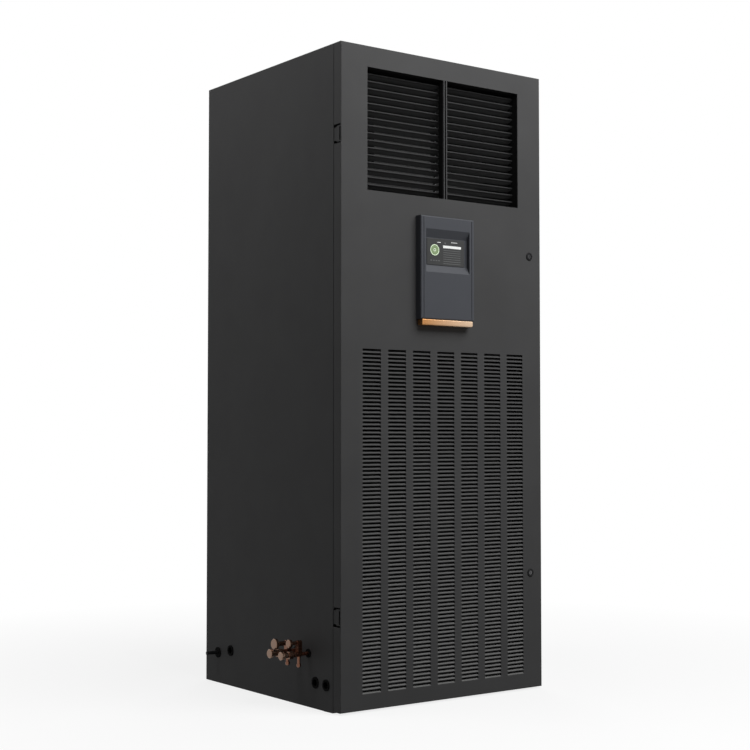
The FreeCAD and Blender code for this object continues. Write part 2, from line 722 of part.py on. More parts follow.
def lock_housings():
    """Flanged barrels through the door skin, each with a nut behind the skin."""
    pieces = []
    for z in LOCK_HEIGHTS:
        bore = LOCK_CORE_RADIUS + RUNNING_CLEARANCE
        nut_end = LOCK_FLANGE_RISE + PANEL_SHEET + LOCK_NUT_HEIGHT
        barrel_end = LOCK_FLANGE_RISE + LOCK_BARREL_LENGTH
        outline = (
            (bore, 0),
            (LOCK_FLANGE_RADIUS - LOCK_FLANGE_RISE / 2, 0),
            (LOCK_FLANGE_RADIUS, LOCK_FLANGE_RISE / 2),
            (LOCK_FLANGE_RADIUS, LOCK_FLANGE_RISE),
            (LOCK_BARREL_RADIUS, LOCK_FLANGE_RISE),
            (LOCK_BARREL_RADIUS, LOCK_FLANGE_RISE + PANEL_SHEET),
            (LOCK_NUT_RADIUS, LOCK_FLANGE_RISE + PANEL_SHEET),
            (LOCK_NUT_RADIUS, nut_end),
            (LOCK_BARREL_RADIUS, nut_end),
            (LOCK_BARREL_RADIUS, barrel_end),
            (bore, barrel_end),
        )
        pieces.append(turned(outline, point(LOCK_X, DOOR_FACE - LOCK_FLANGE_RISE, z), point(0, 1, 0)))
    return group(pieces)


def lock_cam(z):
    """Turning core with its key slot in front and its cam behind the frame's flange."""
    front = DOOR_FACE - LOCK_FLANGE_RISE + LOCK_FLANGE_RISE / 2
    cam_front = FRAME_FACE + FRAME_SHEET + LOCK_CAM_GAP
    cam_depth = (cam_front, cam_front + LOCK_CAM_SHEET)
    core = rod(point(LOCK_X, front, z), point(LOCK_X, cam_depth[1], z), LOCK_CORE_RADIUS)
    slot_width, slot_length, slot_depth = LOCK_KEY_SLOT
    slot = block(around(LOCK_X, slot_width), (front, front + slot_depth), around(z, slot_length))
    tongue = block(
        around(LOCK_X, 2 * LOCK_CAM_HALF_WIDTH), cam_depth, (z, z + LOCK_CAM_REACH - LOCK_CAM_HALF_WIDTH)
    )
    ends = [
        rod(point(LOCK_X, cam_depth[0], height), point(LOCK_X, cam_depth[1], height), LOCK_CAM_HALF_WIDTH)
        for height in (z, z + LOCK_CAM_REACH - LOCK_CAM_HALF_WIDTH)
    ]
    return welded(core, [tongue] + ends).cut(slot)


# Supply outlet


def outlet_frame():
    """Ring behind the outlet window with blade pivot holes, and the channel mullion in the window."""
    depth = (DOOR_SKIN_BACK, DOOR_SKIN_BACK + OUTLET_FRAME_DEPTH)
    inner_z = widened((OUTLET_BOTTOM, OUTLET_TOP), OUTLET_LAP)
    outer = block((-OUTLET_OUTER_X, OUTLET_OUTER_X), depth, widened(inner_z, OUTLET_WALL))
    inner = block((-OUTLET_INNER_X, OUTLET_INNER_X), depth, inner_z)
    mullion_back = DOOR_FACE + BLADE_RECESS - MULLION_BLADE_GAP
    half = MULLION_WIDTH / 2
    in_window = block((-half, half), (DOOR_FACE, mullion_back), (OUTLET_BOTTOM, OUTLET_TOP))
    behind = block((-half, half), (DOOR_SKIN_BACK, mullion_back), inner_z)
    groove = block(
        (MULLION_WALL - half, half - MULLION_WALL), (DOOR_FACE, mullion_back - MULLION_WALL), inner_z
    )
    mullion = welded(in_window, [behind]).cut(groove)
    holes = []
    for number in range(BLADE_COUNT):
        z = blade_height(number)
        holes.append(rod(
            point(-OUTLET_OUTER_X, BLADE_AXIS_Y, z),
            point(OUTLET_OUTER_X, BLADE_AXIS_Y, z),
            BLADE_PIN_RADIUS + RUNNING_CLEARANCE,
        ))
    ring = outer.cut(inner).cut(holes)
    return welded(ring, [mullion])


def blade_height(number):
    """Return the height of a blade's pivot, counted from the lowest."""
    return BLADE_FIRST_Z + number * BLADE_PITCH


def outlet_blade(number):
    """Drop-shaped blade, nose up, with pivot pins at its ends and a lug for the link bar at its middle."""
    z = blade_height(number)
    half = OUTLET_INNER_X - BLADE_END_GAP
    nose_y = BLADE_AXIS_Y - BLADE_CHORD / 2 + BLADE_NOSE_RADIUS
    tail_y = BLADE_AXIS_Y + BLADE_CHORD / 2 - BLADE_TAIL_RADIUS
    lean = math.asin((BLADE_NOSE_RADIUS - BLADE_TAIL_RADIUS) / (tail_y - nose_y))
    rise, shift = math.cos(lean), math.sin(lean)

    def rim(centre_y, radius, side):
        return point(-half, centre_y + radius * shift, z + side * radius * rise)

    nose_tip = point(-half, nose_y - BLADE_NOSE_RADIUS, z)
    tail_tip = point(-half, tail_y + BLADE_TAIL_RADIUS, z)
    nose_low, nose_high = (rim(nose_y, BLADE_NOSE_RADIUS, side) for side in (-1, 1))
    tail_low, tail_high = (rim(tail_y, BLADE_TAIL_RADIUS, side) for side in (-1, 1))
    outline = Part.Wire([
        Part.Arc(nose_low, nose_tip, nose_high).toShape(),
        Part.LineSegment(nose_high, tail_high).toShape(),
        Part.Arc(tail_high, tail_tip, tail_low).toShape(),
        Part.LineSegment(tail_low, nose_low).toShape(),
    ])
    body = Part.Face(outline).extrude(point(2 * half, 0, 0))
    pin_end = OUTLET_OUTER_X + BLADE_PIN_PAST
    link_y = BLADE_AXIS_Y + LINK_REACH
    bar_start = LUG_WIDTH / 2 + LUG_GAP
    additions = [
        rod(point(-pin_end, BLADE_AXIS_Y, z), point(-half, BLADE_AXIS_Y, z), BLADE_PIN_RADIUS),
        rod(point(half, BLADE_AXIS_Y, z), point(pin_end, BLADE_AXIS_Y, z), BLADE_PIN_RADIUS),
        block(around(0, LUG_WIDTH), (BLADE_AXIS_Y, link_y), around(z, LUG_HEIGHT)),
        rod(point(-LUG_WIDTH / 2, link_y, z), point(LUG_WIDTH / 2, link_y, z), LUG_HEIGHT),
        rod(
            point(LUG_WIDTH / 2, link_y, z),
            point(bar_start + LINK_SHEET + LUG_GAP, link_y, z),
            LINK_PIN_RADIUS,
        ),
    ]
    blade = welded(body, additions)
    blade.rotate(point(0, BLADE_AXIS_Y, z), point(1, 0, 0), -BLADE_REST_TILT)
    return blade


def blade_link():
    """Flat bar behind the blades that joins their lugs."""
    tilt = math.radians(BLADE_REST_TILT)
    link_y = BLADE_AXIS_Y + LINK_REACH * math.cos(tilt)
    drop = LINK_REACH * math.sin(tilt)
    start = LUG_WIDTH / 2 + LUG_GAP
    sides = (start, start + LINK_SHEET)
    lug_heights = [blade_height(number) - drop for number in range(BLADE_COUNT)]
    bar = block(sides, around(link_y, LINK_WIDTH), widened((lug_heights[0], lug_heights[-1]), LINK_END))
    holes = []
    for z in lug_heights:
        holes.append(rod(
            point(sides[0], link_y, z), point(sides[1], link_y, z), LINK_PIN_RADIUS + RUNNING_CLEARANCE
        ))
    return bar.cut(holes)


# Display


def display_limits():
    """Return the display's limits in width, depth and height, without the trim below it."""
    return (
        around(DISPLAY_CENTRE_X, DISPLAY_WIDTH),
        (DOOR_FACE - DISPLAY_DEPTH, DOOR_FACE),
        (DISPLAY_BOTTOM + TRIM_HEIGHT, DISPLAY_BOTTOM + DISPLAY_HEIGHT),
    )


def display_housing():
    """Moulded housing on the door with a sloped recess for the screen and a box through the skin."""
    width, depth, height = display_limits()
    shell = block(width, depth, height)
    rounded = [
        edge for edge in shell.Edges
        if all(abs(vertex.Y - depth[0]) < PANEL_SHEET / 2 for vertex in edge.Vertexes)
    ]
    shell = shell.makeFillet(DISPLAY_CORNER, rounded)
    low = DISPLAY_BOTTOM + RECESS_BOTTOM
    high = DISPLAY_BOTTOM + RECESS_TOP
    floor = depth[0] + RECESS_DEPTH
    left, right = around(DISPLAY_CENTRE_X, RECESS_WIDTH)
    recess = prism(
        [
            point(left, depth[0], low),
            point(left, floor, low + RECESS_LOW_SLOPE),
            point(left, floor, high - RECESS_HIGH_SLOPE),
            point(left, depth[0], high),
        ],
        point(right - left, 0, 0),
    )
    box_x, box_z = display_box_limits()
    rear_box = block(box_x, (DOOR_FACE, DOOR_SKIN_BACK + DISPLAY_BOX_DEPTH), box_z)
    return welded(shell, [rear_box]).cut(recess)


def display_screen():
    """Glass screen on the floor of the recess."""
    floor = DOOR_FACE - DISPLAY_DEPTH + RECESS_DEPTH
    low = DISPLAY_BOTTOM + RECESS_BOTTOM + RECESS_LOW_SLOPE + SCREEN_FROM_SLOPE
    depth = (floor - SCREEN_SHEET, floor)
    return block(around(DISPLAY_CENTRE_X, SCREEN_WIDTH), depth, (low, low + SCREEN_HEIGHT))


def display_trim():
    """Rounded bright bar along the foot of the display."""
    width, depth, height = display_limits()
    bar = block(
        widened(width, -TRIM_INSET), depth, (DISPLAY_BOTTOM, DISPLAY_BOTTOM + TRIM_HEIGHT)
    )
    rounded = [
        edge for edge in bar.Edges
        if all(abs(vertex.Y - depth[0]) < PANEL_SHEET / 2 for vertex in edge.Vertexes)
        and all(abs(vertex.Z - DISPLAY_BOTTOM) < PANEL_SHEET / 2 for vertex in edge.Vertexes)
    ]
    return bar.makeFillet(TRIM_ROUND, rounded)


# Fan section


def volute_outline(x, wall):
    """Return the closed outline of a blower scroll, moved inwards by a wall, in the plane at x."""
    offset = VOLUTE_OFFSET
    step = VOLUTE_STEP
    radii = [VOLUTE_RADIUS + turn * step - wall for turn in range(3)]
    centres = [(offset, offset), (offset, offset + step), (offset + step, offset + step)]

    def place(forward, up):
        return point(x, FAN_AXIS_Y - forward, FAN_AXIS_Z + up)

    def quarter(number, start, end):
        forward, up = centres[number]
        radius = radii[number]
        angles = [math.radians(angle) for angle in (start, (start + end) / 2, end)]
        stops = [place(forward + radius * math.cos(a), up + radius * math.sin(a)) for a in angles]
        return Part.Arc(*stops).toShape()

    mouth = FAN_AXIS_Y - BULKHEAD_Y
    nose_forward = offset + VOLUTE_RADIUS - wall
    nose_up = CUTOFF_HEIGHT + wall
    roof = offset + step + radii[2]
    nose_round = CUTOFF_ROUND + wall
    corner = nose_round * (1 - math.sqrt(0.5))
    start = place(nose_forward, offset)
    nose_low = place(nose_forward, nose_up - nose_round)
    nose_mid = place(nose_forward + corner, nose_up - corner)
    nose_high = place(nose_forward + nose_round, nose_up)
    edges = [
        Part.LineSegment(place(mouth, nose_up), nose_high).toShape(),
        Part.Arc(nose_high, nose_mid, nose_low).toShape(),
        Part.LineSegment(nose_low, start).toShape(),
        quarter(0, 0, -90),
        quarter(1, -90, -180),
        quarter(2, -180, -270),
        Part.LineSegment(place(offset + step, roof), place(mouth, roof)).toShape(),
        Part.LineSegment(place(mouth, roof), place(mouth, nose_up)).toShape(),
    ]
    return Part.Wire(edges)


def blower_housing(centre_x):
    """Sheet scroll, open at its discharge, with a round inlet in each side."""
    left = centre_x - HOUSING_WIDTH / 2
    scroll = Part.Face(volute_outline(left, 0)).extrude(point(HOUSING_WIDTH, 0, 0))
    inside = Part.Face(volute_outline(left + DECK_SHEET, DECK_SHEET))
    hollow = inside.extrude(point(HOUSING_WIDTH - 2 * DECK_SHEET, 0, 0))
    inlet = rod(
        point(left, FAN_AXIS_Y, FAN_AXIS_Z), point(left + HOUSING_WIDTH, FAN_AXIS_Y, FAN_AXIS_Z), INLET_RADIUS
    )
    return scroll.cut([hollow, inlet])


def blower_housings():
    """The two scrolls, one each side of the motor."""
    return group([blower_housing(-FAN_CENTRE_X), blower_housing(FAN_CENTRE_X)])


def fan_bulkhead():
    """Deck under the outlet, wall behind it with two discharge windows, and the motor's shelf."""
    wall_front = BULKHEAD_Y - DECK_SHEET
    deck_run = (FRAME_FACE + STILE_DEPTH, wall_front)
    deck = block((INNER_LEFT, INNER_RIGHT), deck_run, (DECK_Z, DECK_Z + DECK_SHEET))
    wall = block((INNER_LEFT, INNER_RIGHT), (wall_front, BULKHEAD_Y), (DECK_Z, INNER_TOP))
    sill = FAN_AXIS_Z + CUTOFF_HEIGHT + DECK_SHEET
    head = FAN_AXIS_Z + VOLUTE_OFFSET + VOLUTE_RADIUS + 3 * VOLUTE_STEP - DECK_SHEET
    window_width = HOUSING_WIDTH - 2 * DECK_SHEET
    windows = [
        block(around(side * FAN_CENTRE_X, window_width), (wall_front, BULKHEAD_Y), (sill, head))
        for side in (-1, 1)
    ]
    shelf_top = FAN_AXIS_Z - MOTOR_RADIUS - MOTOR_FOOT
    shelf_z = (shelf_top - MOTOR_BRACKET_SHEET, shelf_top)
    shelf = block(around(0, MOTOR_BRACKET_WIDTH), (BULKHEAD_Y, FAN_AXIS_Y + MOTOR_FOOT_WIDTH / 2), shelf_z)
    gusset_x = MOTOR_BRACKET_WIDTH / 2 - MOTOR_BRACKET_SHEET
    gusset = prism(
        [
            point(gusset_x, BULKHEAD_Y, shelf_top),
            point(gusset_x, FAN_AXIS_Y - MOTOR_RADIUS, shelf_top),
            point(gusset_x, BULKHEAD_Y, FAN_AXIS_Z),
        ],
        point(MOTOR_BRACKET_SHEET, 0, 0),
    )
    return group([deck, wall.cut(windows), welded(shelf, [gusset, mirrored(gusset)])])


def blower_motor():
    """Motor with its foot on the shelf and a bore for the common shaft."""
    half = MOTOR_LENGTH / 2
    body = rod(point(-half, FAN_AXIS_Y, FAN_AXIS_Z), point(half, FAN_AXIS_Y, FAN_AXIS_Z), MOTOR_RADIUS)
    foot = block(
        around(0, MOTOR_FOOT_WIDTH),
        around(FAN_AXIS_Y, MOTOR_FOOT_WIDTH),
        (FAN_AXIS_Z - MOTOR_RADIUS - MOTOR_FOOT, FAN_AXIS_Z),
    )
    bore = rod(
        point(-half, FAN_AXIS_Y, FAN_AXIS_Z),
        point(half, FAN_AXIS_Y, FAN_AXIS_Z),
        SHAFT_RADIUS + RUNNING_CLEARANCE,
    )
    return welded(body, [foot]).cut(bore)


def blower_wheel(centre_x):
    """Forward-curved wheel: curved blades between two rings, on a disc with a hub."""
    axis = point(1, 0, 0)
    half = HOUSING_WIDTH / 2 - DECK_SHEET - WHEEL_SIDE_GAP

    def ring(start_x, length, outer, inner):
        start = point(start_x, FAN_AXIS_Y, FAN_AXIS_Z)
        outer_rod = Part.makeCylinder(outer, length, start, axis)
        return outer_rod.cut(Part.makeCylinder(inner, length, start, axis))

    rings = [
        ring(centre_x - half, WHEEL_RING, WHEEL_RADIUS, WHEEL_INNER_RADIUS),
        ring(centre_x + half - WHEEL_RING, WHEEL_RING, WHEEL_RADIUS, WHEEL_INNER_RADIUS),
    ]
    disc = ring(centre_x - WHEEL_DISC / 2, WHEEL_DISC, WHEEL_RADIUS, SHAFT_RADIUS)
    hub = ring(centre_x - WHEEL_HUB_LENGTH / 2, WHEEL_HUB_LENGTH, WHEEL_HUB_RADIUS, SHAFT_RADIUS)
    middle = (WHEEL_RADIUS + WHEEL_INNER_RADIUS) / 2

    def bowed(radius, across):
        return point(centre_x - half, FAN_AXIS_Y + across, FAN_AXIS_Z + radius)

    outer_edge = WHEEL_RADIUS - WHEEL_BLADE_SHEET
    inner_edge = WHEEL_INNER_RADIUS + WHEEL_BLADE_SHEET
    front = Part.Arc(bowed(inner_edge, 0), bowed(middle, WHEEL_BLADE_BOW), bowed(outer_edge, 0)).toShape()
    back = Part.Arc(
        bowed(outer_edge, WHEEL_BLADE_SHEET),
        bowed(middle, WHEEL_BLADE_BOW + WHEEL_BLADE_SHEET),
        bowed(inner_edge, WHEEL_BLADE_SHEET),
    ).toShape()
    ends = [
        Part.LineSegment(bowed(outer_edge, 0), bowed(outer_edge, WHEEL_BLADE_SHEET)).toShape(),
        Part.LineSegment(bowed(inner_edge, WHEEL_BLADE_SHEET), bowed(inner_edge, 0)).toShape(),
    ]
    blade = Part.Face(Part.Wire([front, ends[0], back, ends[1]])).extrude(point(2 * half, 0, 0))
    blades = []
    for number in range(WHEEL_BLADES):
        copy = blade.copy()
        copy.rotate(point(0, FAN_AXIS_Y, FAN_AXIS_Z), axis, number * 360 / WHEEL_BLADES)
        blades.append(copy)
    return welded(disc, rings + [hub] + blades)


def blower_wheels():
    """Both wheels on the shaft that runs through the motor."""
    shaft_end = FAN_CENTRE_X + WHEEL_HUB_LENGTH / 2
    shaft = rod(
        point(-shaft_end, FAN_AXIS_Y, FAN_AXIS_Z), point(shaft_end, FAN_AXIS_Y, FAN_AXIS_Z), SHAFT_RADIUS
    )
    return group([blower_wheel(-FAN_CENTRE_X), blower_wheel(FAN_CENTRE_X), shaft])


# Filters


def filter_depth():
    """Return the limits of the filters in depth."""
    front = FRAME_FACE + FILTER_FROM_FRAME
    return (front, front + FILTER_DEPTH)


def filter_heights(number):
    """Return the limits in height of one of the stacked filters."""
    each = (LOW_RAIL_Z - BASE_TOP - SEAT_GAP * (FILTER_COUNT + 1)) / FILTER_COUNT
    bottom = BASE_TOP + SEAT_GAP + number * (each + SEAT_GAP)
    return (bottom, bottom + each)


def filter_frames():
    """Four bars round each filter."""
    bars = []
    depth = filter_depth()
    half = FRAME_INNER_RIGHT - FILTER_SIDE_GAP
    for number in range(FILTER_COUNT):
        bottom, top = filter_heights(number)
        upright = block((half - FILTER_BAR, half), depth, (bottom, top))
        across = (FILTER_BAR - half, half - FILTER_BAR)
        bars += [upright, mirrored(upright)]
        bars.append(block(across, depth, (bottom, bottom + FILTER_BAR)))
        bars.append(block(across, depth, (top - FILTER_BAR, top)))
    return group(bars)


def filter_media():
    """Pleated sheet inside each frame, folded up and down its height."""
    front, rear = filter_depth()
    back = rear - FILTER_MEDIA_SHEET
    half = FRAME_INNER_RIGHT - FILTER_SIDE_GAP - FILTER_BAR
    sheets = []
    for number in range(FILTER_COUNT):
        bottom, top = widened(filter_heights(number), -FILTER_BAR)
        fold = (top - bottom) / (2 * FILTER_PLEATS)
        crests = [
            (back if step % 2 else front, bottom + step * fold) for step in range(2 * FILTER_PLEATS + 1)
        ]
        near = [point(-half, y, z) for y, z in crests]
        far = [point(-half, y + FILTER_MEDIA_SHEET, z) for y, z in reversed(crests)]
        sheets.append(prism(near + far, point(2 * half, 0, 0)))
    return group(sheets)


def filter_rack():
    """Two angles on the side panels that the filters lean against."""
    back = filter_depth()[1] + SEAT_GAP
    heights = (RACK_BOTTOM, LOW_RAIL_Z)
    flange = block((INNER_RIGHT - RACK_REACH, INNER_RIGHT), (back, back + RACK_SHEET), heights)
    web = block((INNER_RIGHT - RACK_SHEET, INNER_RIGHT), (back, back + RACK_WEB), heights)
    angle = welded(flange, [web])
    return group([angle, mirrored(angle)])


# Cooling coil


def leaned(shape):
    """Return a shape turned back about the foot of the coil by its lean."""
    shape.rotate(point(0, COIL_FOOT_Y, COIL_FOOT_Z), point(1, 0, 0), -COIL_LEAN_ANGLE)
    return shape


def coil_place(x, along, across):
    """Return a point of the leaning coil, measured up its slope and through its thickness."""
    lean = math.radians(COIL_LEAN_ANGLE)
    y = COIL_FOOT_Y + along * math.sin(lean) + across * math.cos(lean)
    z = COIL_FOOT_Z + along * math.cos(lean) - across * math.sin(lean)
    return point(x, y, z)


def coil_slab(x_range):
    """Return a slab with the coil's lean, thickness and length."""
    slab = block(x_range, around(COIL_FOOT_Y, COIL_THICKNESS), (COIL_FOOT_Z, COIL_FOOT_Z + COIL_LENGTH))
    return leaned(slab)


def coil_fins():
    """Leaning pack of fins."""
    return coil_slab((COIL_LEFT, COIL_RIGHT))


def coil_end_plates():
    """Tube plates at the coil's ends, with feet that stand in the drain pan."""
    plates = []
    for x_range in ((COIL_LEFT - COIL_PLATE, COIL_LEFT), (COIL_RIGHT, COIL_RIGHT + COIL_PLATE)):
        foot = block(
            x_range,
            around(COIL_FOOT_Y, COIL_THICKNESS / 2),
            (PAN_FLOOR_Z + PANEL_SHEET, COIL_FOOT_Z + COIL_THICKNESS / 2),
        )
        plates.append(welded(coil_slab(x_range), [foot]))
    return group(plates)


def coil_bends():
    """Return bends at both ends of the coil."""
    bends = []
    pitch = COIL_LENGTH / COIL_BENDS
    sides = ((COIL_RIGHT + COIL_PLATE, 1, COIL_BEND_ROW), (COIL_LEFT - COIL_PLATE, -1, -COIL_BEND_ROW))
    for face, side, across in sides:
        for number in range(COIL_BENDS):
            middle = (number + 0.5) * pitch
            low = coil_place(face, middle - COIL_BEND_RADIUS, across)
            high = coil_place(face, middle + COIL_BEND_RADIUS, across)
            crown = coil_place(face + side * COIL_BEND_RADIUS, middle, across)
            path = Part.Wire(Part.Arc(low, crown, high).toShape())
            section = Part.Wire(Part.makeCircle(COIL_TUBE_RADIUS, low, point(side, 0, 0)))
            bends.append(path.makePipeShell([section], True, False))
    return group(bends)


def drain_pan():
    """Open pan under the coil on two channels that stand on the base."""
    outer = block((PAN_LEFT, PAN_RIGHT), (PAN_FRONT, PAN_REAR), (PAN_FLOOR_Z, PAN_FLOOR_Z + PAN_DEPTH))
    inner = block(
        widened((PAN_LEFT, PAN_RIGHT), -PANEL_SHEET),
        widened((PAN_FRONT, PAN_REAR), -PANEL_SHEET),
        (PAN_FLOOR_Z + PANEL_SHEET, PAN_FLOOR_Z + PAN_DEPTH),
    )
    channel = block(around(PAN_SUPPORT_X, PAN_SUPPORT_WIDTH), (PAN_FRONT, PAN_REAR), (BASE_TOP, PAN_FLOOR_Z))
    bore = block(
        widened(around(PAN_SUPPORT_X, PAN_SUPPORT_WIDTH), -FRAME_SHEET),
        (PAN_FRONT, PAN_REAR),
        (BASE_TOP, PAN_FLOOR_Z - FRAME_SHEET),
    )
    channel = channel.cut(bore)
    return group([outer.cut(inner), channel, mirrored(channel)])


def drain_tube():
    """Tube from the pan to the left panel, ending in a spigot outside its grommet."""
    outlet_z = PAN_FLOOR_Z + PANEL_SHEET + DRAIN_TUBE_RADIUS
    outlet_y = PAN_REAR - PANEL_SHEET - 2 * DRAIN_TUBE_RADIUS
    spigot_start = point(LEFT - GROMMET_RIM, DRAIN_EXIT[0], DRAIN_EXIT[1])
    stops = [
        point(PAN_LEFT, outlet_y, outlet_z),
        point(DRAIN_CORRIDOR_X, outlet_y, outlet_z),
        point(DRAIN_CORRIDOR_X, DRAIN_EXIT[0] - 4 * DRAIN_BEND, DRAIN_EXIT[1]),
        point(DRAIN_CORRIDOR_X, DRAIN_EXIT[0], DRAIN_EXIT[1]),
        spigot_start,
    ]
    tube = pipe(stops, DRAIN_TUBE_RADIUS, DRAIN_BEND)
    spigot = rod(spigot_start, spigot_start - point(DRAIN_SPIGOT_LENGTH, 0, 0), DRAIN_SPIGOT_RADIUS)
    return welded(tube, [spigot])


# Refrigerant circuit


def compressor_base():
    """Return the height of the compressor's foot plate."""
    return BASE_TOP + COMPRESSOR_FOOT_HEIGHT


def compressor():
    """Welded shell with domed ends on a square foot plate, with its pipe ports and terminal box."""
    foot = compressor_base() + COMPRESSOR_PLATE
    centre = point(COMPRESSOR_X, COMPRESSOR_Y, foot)
    radius = COMPRESSOR_RADIUS
    profile = (
        (0, 0),
        (radius - COMPRESSOR_DOME / 2, 0),
        (radius, COMPRESSOR_DOME / 2),
        (radius, COMPRESSOR_HEIGHT - COMPRESSOR_DOME),
        (radius - COMPRESSOR_DOME / 2, COMPRESSOR_HEIGHT - COMPRESSOR_DOME / 4),
        (GAS_PIPE_RADIUS + PIPE_HOLE_WALL, COMPRESSOR_HEIGHT),
        (0, COMPRESSOR_HEIGHT),
    )
    shell = turned(profile, centre, point(0, 0, 1))
    plate = block(
        around(COMPRESSOR_X, COMPRESSOR_PLATE_SIDE),
        around(COMPRESSOR_Y, COMPRESSOR_PLATE_SIDE),
        (compressor_base(), foot),
    )
    box_width, box_depth, box_height = TERMINAL_BOX
    terminal_box = block(
        around(COMPRESSOR_X, box_width),
        (COMPRESSOR_Y - radius - box_depth / 2, COMPRESSOR_Y),
        around(foot + COMPRESSOR_HEIGHT / 2, box_height),
    )
    suction_port = rod(
        point(COMPRESSOR_X - radius - SUCTION_PIPE_RADIUS, COMPRESSOR_Y, COMPRESSOR_SUCTION_Z),
        point(COMPRESSOR_X, COMPRESSOR_Y, COMPRESSOR_SUCTION_Z),
        SUCTION_PIPE_RADIUS + PIPE_HOLE_WALL,
    )
    return welded(shell, [plate, terminal_box, suction_port])


def compressor_feet():
    """Rubber feet between the compressor's plate and the base."""
    feet = []
    for x in around(COMPRESSOR_X, COMPRESSOR_FOOT_SPACING):
        for y in around(COMPRESSOR_Y, COMPRESSOR_FOOT_SPACING):
            feet.append(rod(point(x, y, BASE_TOP), point(x, y, compressor_base()), COMPRESSOR_FOOT_RADIUS))
    return group(feet)


def suction_line():
    """Pipe from the coil's rear row to the compressor's side port."""
    lean = math.radians(COIL_LEAN_ANGLE)
    along = (COMPRESSOR_SUCTION_Z - COIL_FOOT_Z + COIL_BEND_ROW * math.sin(lean)) / math.cos(lean)
    start = coil_place(COIL_LEFT - COIL_PLATE, along, COIL_BEND_ROW)
    port_x = COMPRESSOR_X - COMPRESSOR_RADIUS - SUCTION_PIPE_RADIUS
    stops = [
        start,
        point(SUCTION_CORRIDOR_X, start.y, COMPRESSOR_SUCTION_Z),
        point(SUCTION_CORRIDOR_X, COMPRESSOR_Y, COMPRESSOR_SUCTION_Z),
        point(port_x, COMPRESSOR_Y, COMPRESSOR_SUCTION_Z),
    ]
    return pipe(stops, SUCTION_PIPE_RADIUS)


def valve_x(distance):
    """Return the place of a point that stands out from the left panel by a distance."""
    return LEFT - distance


def gas_line():
    """Pipe from the top of the compressor to the gas valve."""
    top = compressor_base() + COMPRESSOR_PLATE + COMPRESSOR_HEIGHT
    stops = [
        point(COMPRESSOR_X, COMPRESSOR_Y, top),
        point(COMPRESSOR_X, COMPRESSOR_Y, GAS_HIGH_Z),
        point(PIPE_CORRIDOR_X, COMPRESSOR_Y, GAS_HIGH_Z),
        point(PIPE_CORRIDOR_X, COMPRESSOR_Y, GAS_LOW_Z),
        point(PIPE_CORRIDOR_X, GAS_VALVE_Y, GAS_LOW_Z),
        point(PIPE_CORRIDOR_X, GAS_VALVE_Y, VALVE_Z),
        point(valve_x(VALVE_START), GAS_VALVE_Y, VALVE_Z),
    ]
    return pipe(stops, GAS_PIPE_RADIUS)


def drier_top():
    """Return the height of the filter drier's upper end."""
    return DRIER_BOTTOM + DRIER_LENGTH


def liquid_line():
    """Pipes from the liquid valve through the drier and the expansion valve to the coil."""
    x, y = PIPE_CORRIDOR_X, LIQUID_VALVE_Y
    inlet = pipe(
        [point(valve_x(VALVE_START), y, VALVE_Z), point(x, y, VALVE_Z), point(x, y, DRIER_BOTTOM)],
        LIQUID_PIPE_RADIUS,
    )
    valve_bottom = drier_top() + EXPANSION_VALVE_GAP
    valve_top = valve_bottom + EXPANSION_VALVE_LENGTH
    middle = rod(point(x, y, drier_top()), point(x, y, valve_bottom), LIQUID_PIPE_RADIUS)
    shoulder = EXPANSION_VALVE_RADIUS / 2
    outline = (
        (0, 0),
        (EXPANSION_VALVE_RADIUS - shoulder, 0),
        (EXPANSION_VALVE_RADIUS, shoulder),
        (EXPANSION_VALVE_RADIUS, EXPANSION_VALVE_LENGTH - shoulder),
        (EXPANSION_VALVE_RADIUS + shoulder, EXPANSION_VALVE_LENGTH - shoulder),
        (EXPANSION_VALVE_RADIUS + shoulder, EXPANSION_VALVE_LENGTH),
        (0, EXPANSION_VALVE_LENGTH),
    )
    expansion_valve = turned(outline, point(x, y, valve_bottom), point(0, 0, 1))
    lean = math.radians(COIL_LEAN_ANGLE)
    entry = coil_place(COIL_LEFT - COIL_PLATE, (LIQUID_HIGH_Z - COIL_FOOT_Z) / math.cos(lean), 0)
    outlet = pipe(
        [
            point(x, y, valve_top),
            point(x, y, LIQUID_HIGH_Z),
            point(x, entry.y, LIQUID_HIGH_Z),
            entry,
        ],
        LIQUID_PIPE_RADIUS,
    )
    return group([inlet, middle, expansion_valve, outlet])


def filter_drier():
    """Upright can with a cone at each end."""
    neck = LIQUID_PIPE_RADIUS + PIPE_HOLE_WALL / 2
    outline = (
        (0, 0),
        (neck, 0),
        (DRIER_RADIUS, DRIER_CONE),
        (DRIER_RADIUS, DRIER_LENGTH - DRIER_CONE),
        (neck, DRIER_LENGTH),
        (0, DRIER_LENGTH),
    )
    return turned(outline, point(PIPE_CORRIDOR_X, LIQUID_VALVE_Y, DRIER_BOTTOM), point(0, 0, 1))


def capped(start, radius, direction):
    """Return a round cap with a small edge chamfer, standing along a direction."""
    outline = (
        (0, 0),
        (radius, 0),
        (radius, VALVE_CAP_LENGTH - VALVE_CAP_ROUND),
        (radius - VALVE_CAP_ROUND, VALVE_CAP_LENGTH),
        (0, VALVE_CAP_LENGTH),
    )
    return turned(outline, start, direction)


def hex_nut(start, radius, length):
    """Return a six-sided nut that stands outwards from the left panel."""
    corners = []
    for number in range(6):
        angle = math.radians(60 * number)
        corners.append(start + point(0, radius * math.cos(angle), radius * math.sin(angle)))
    return prism(corners, point(-length, 0, 0))


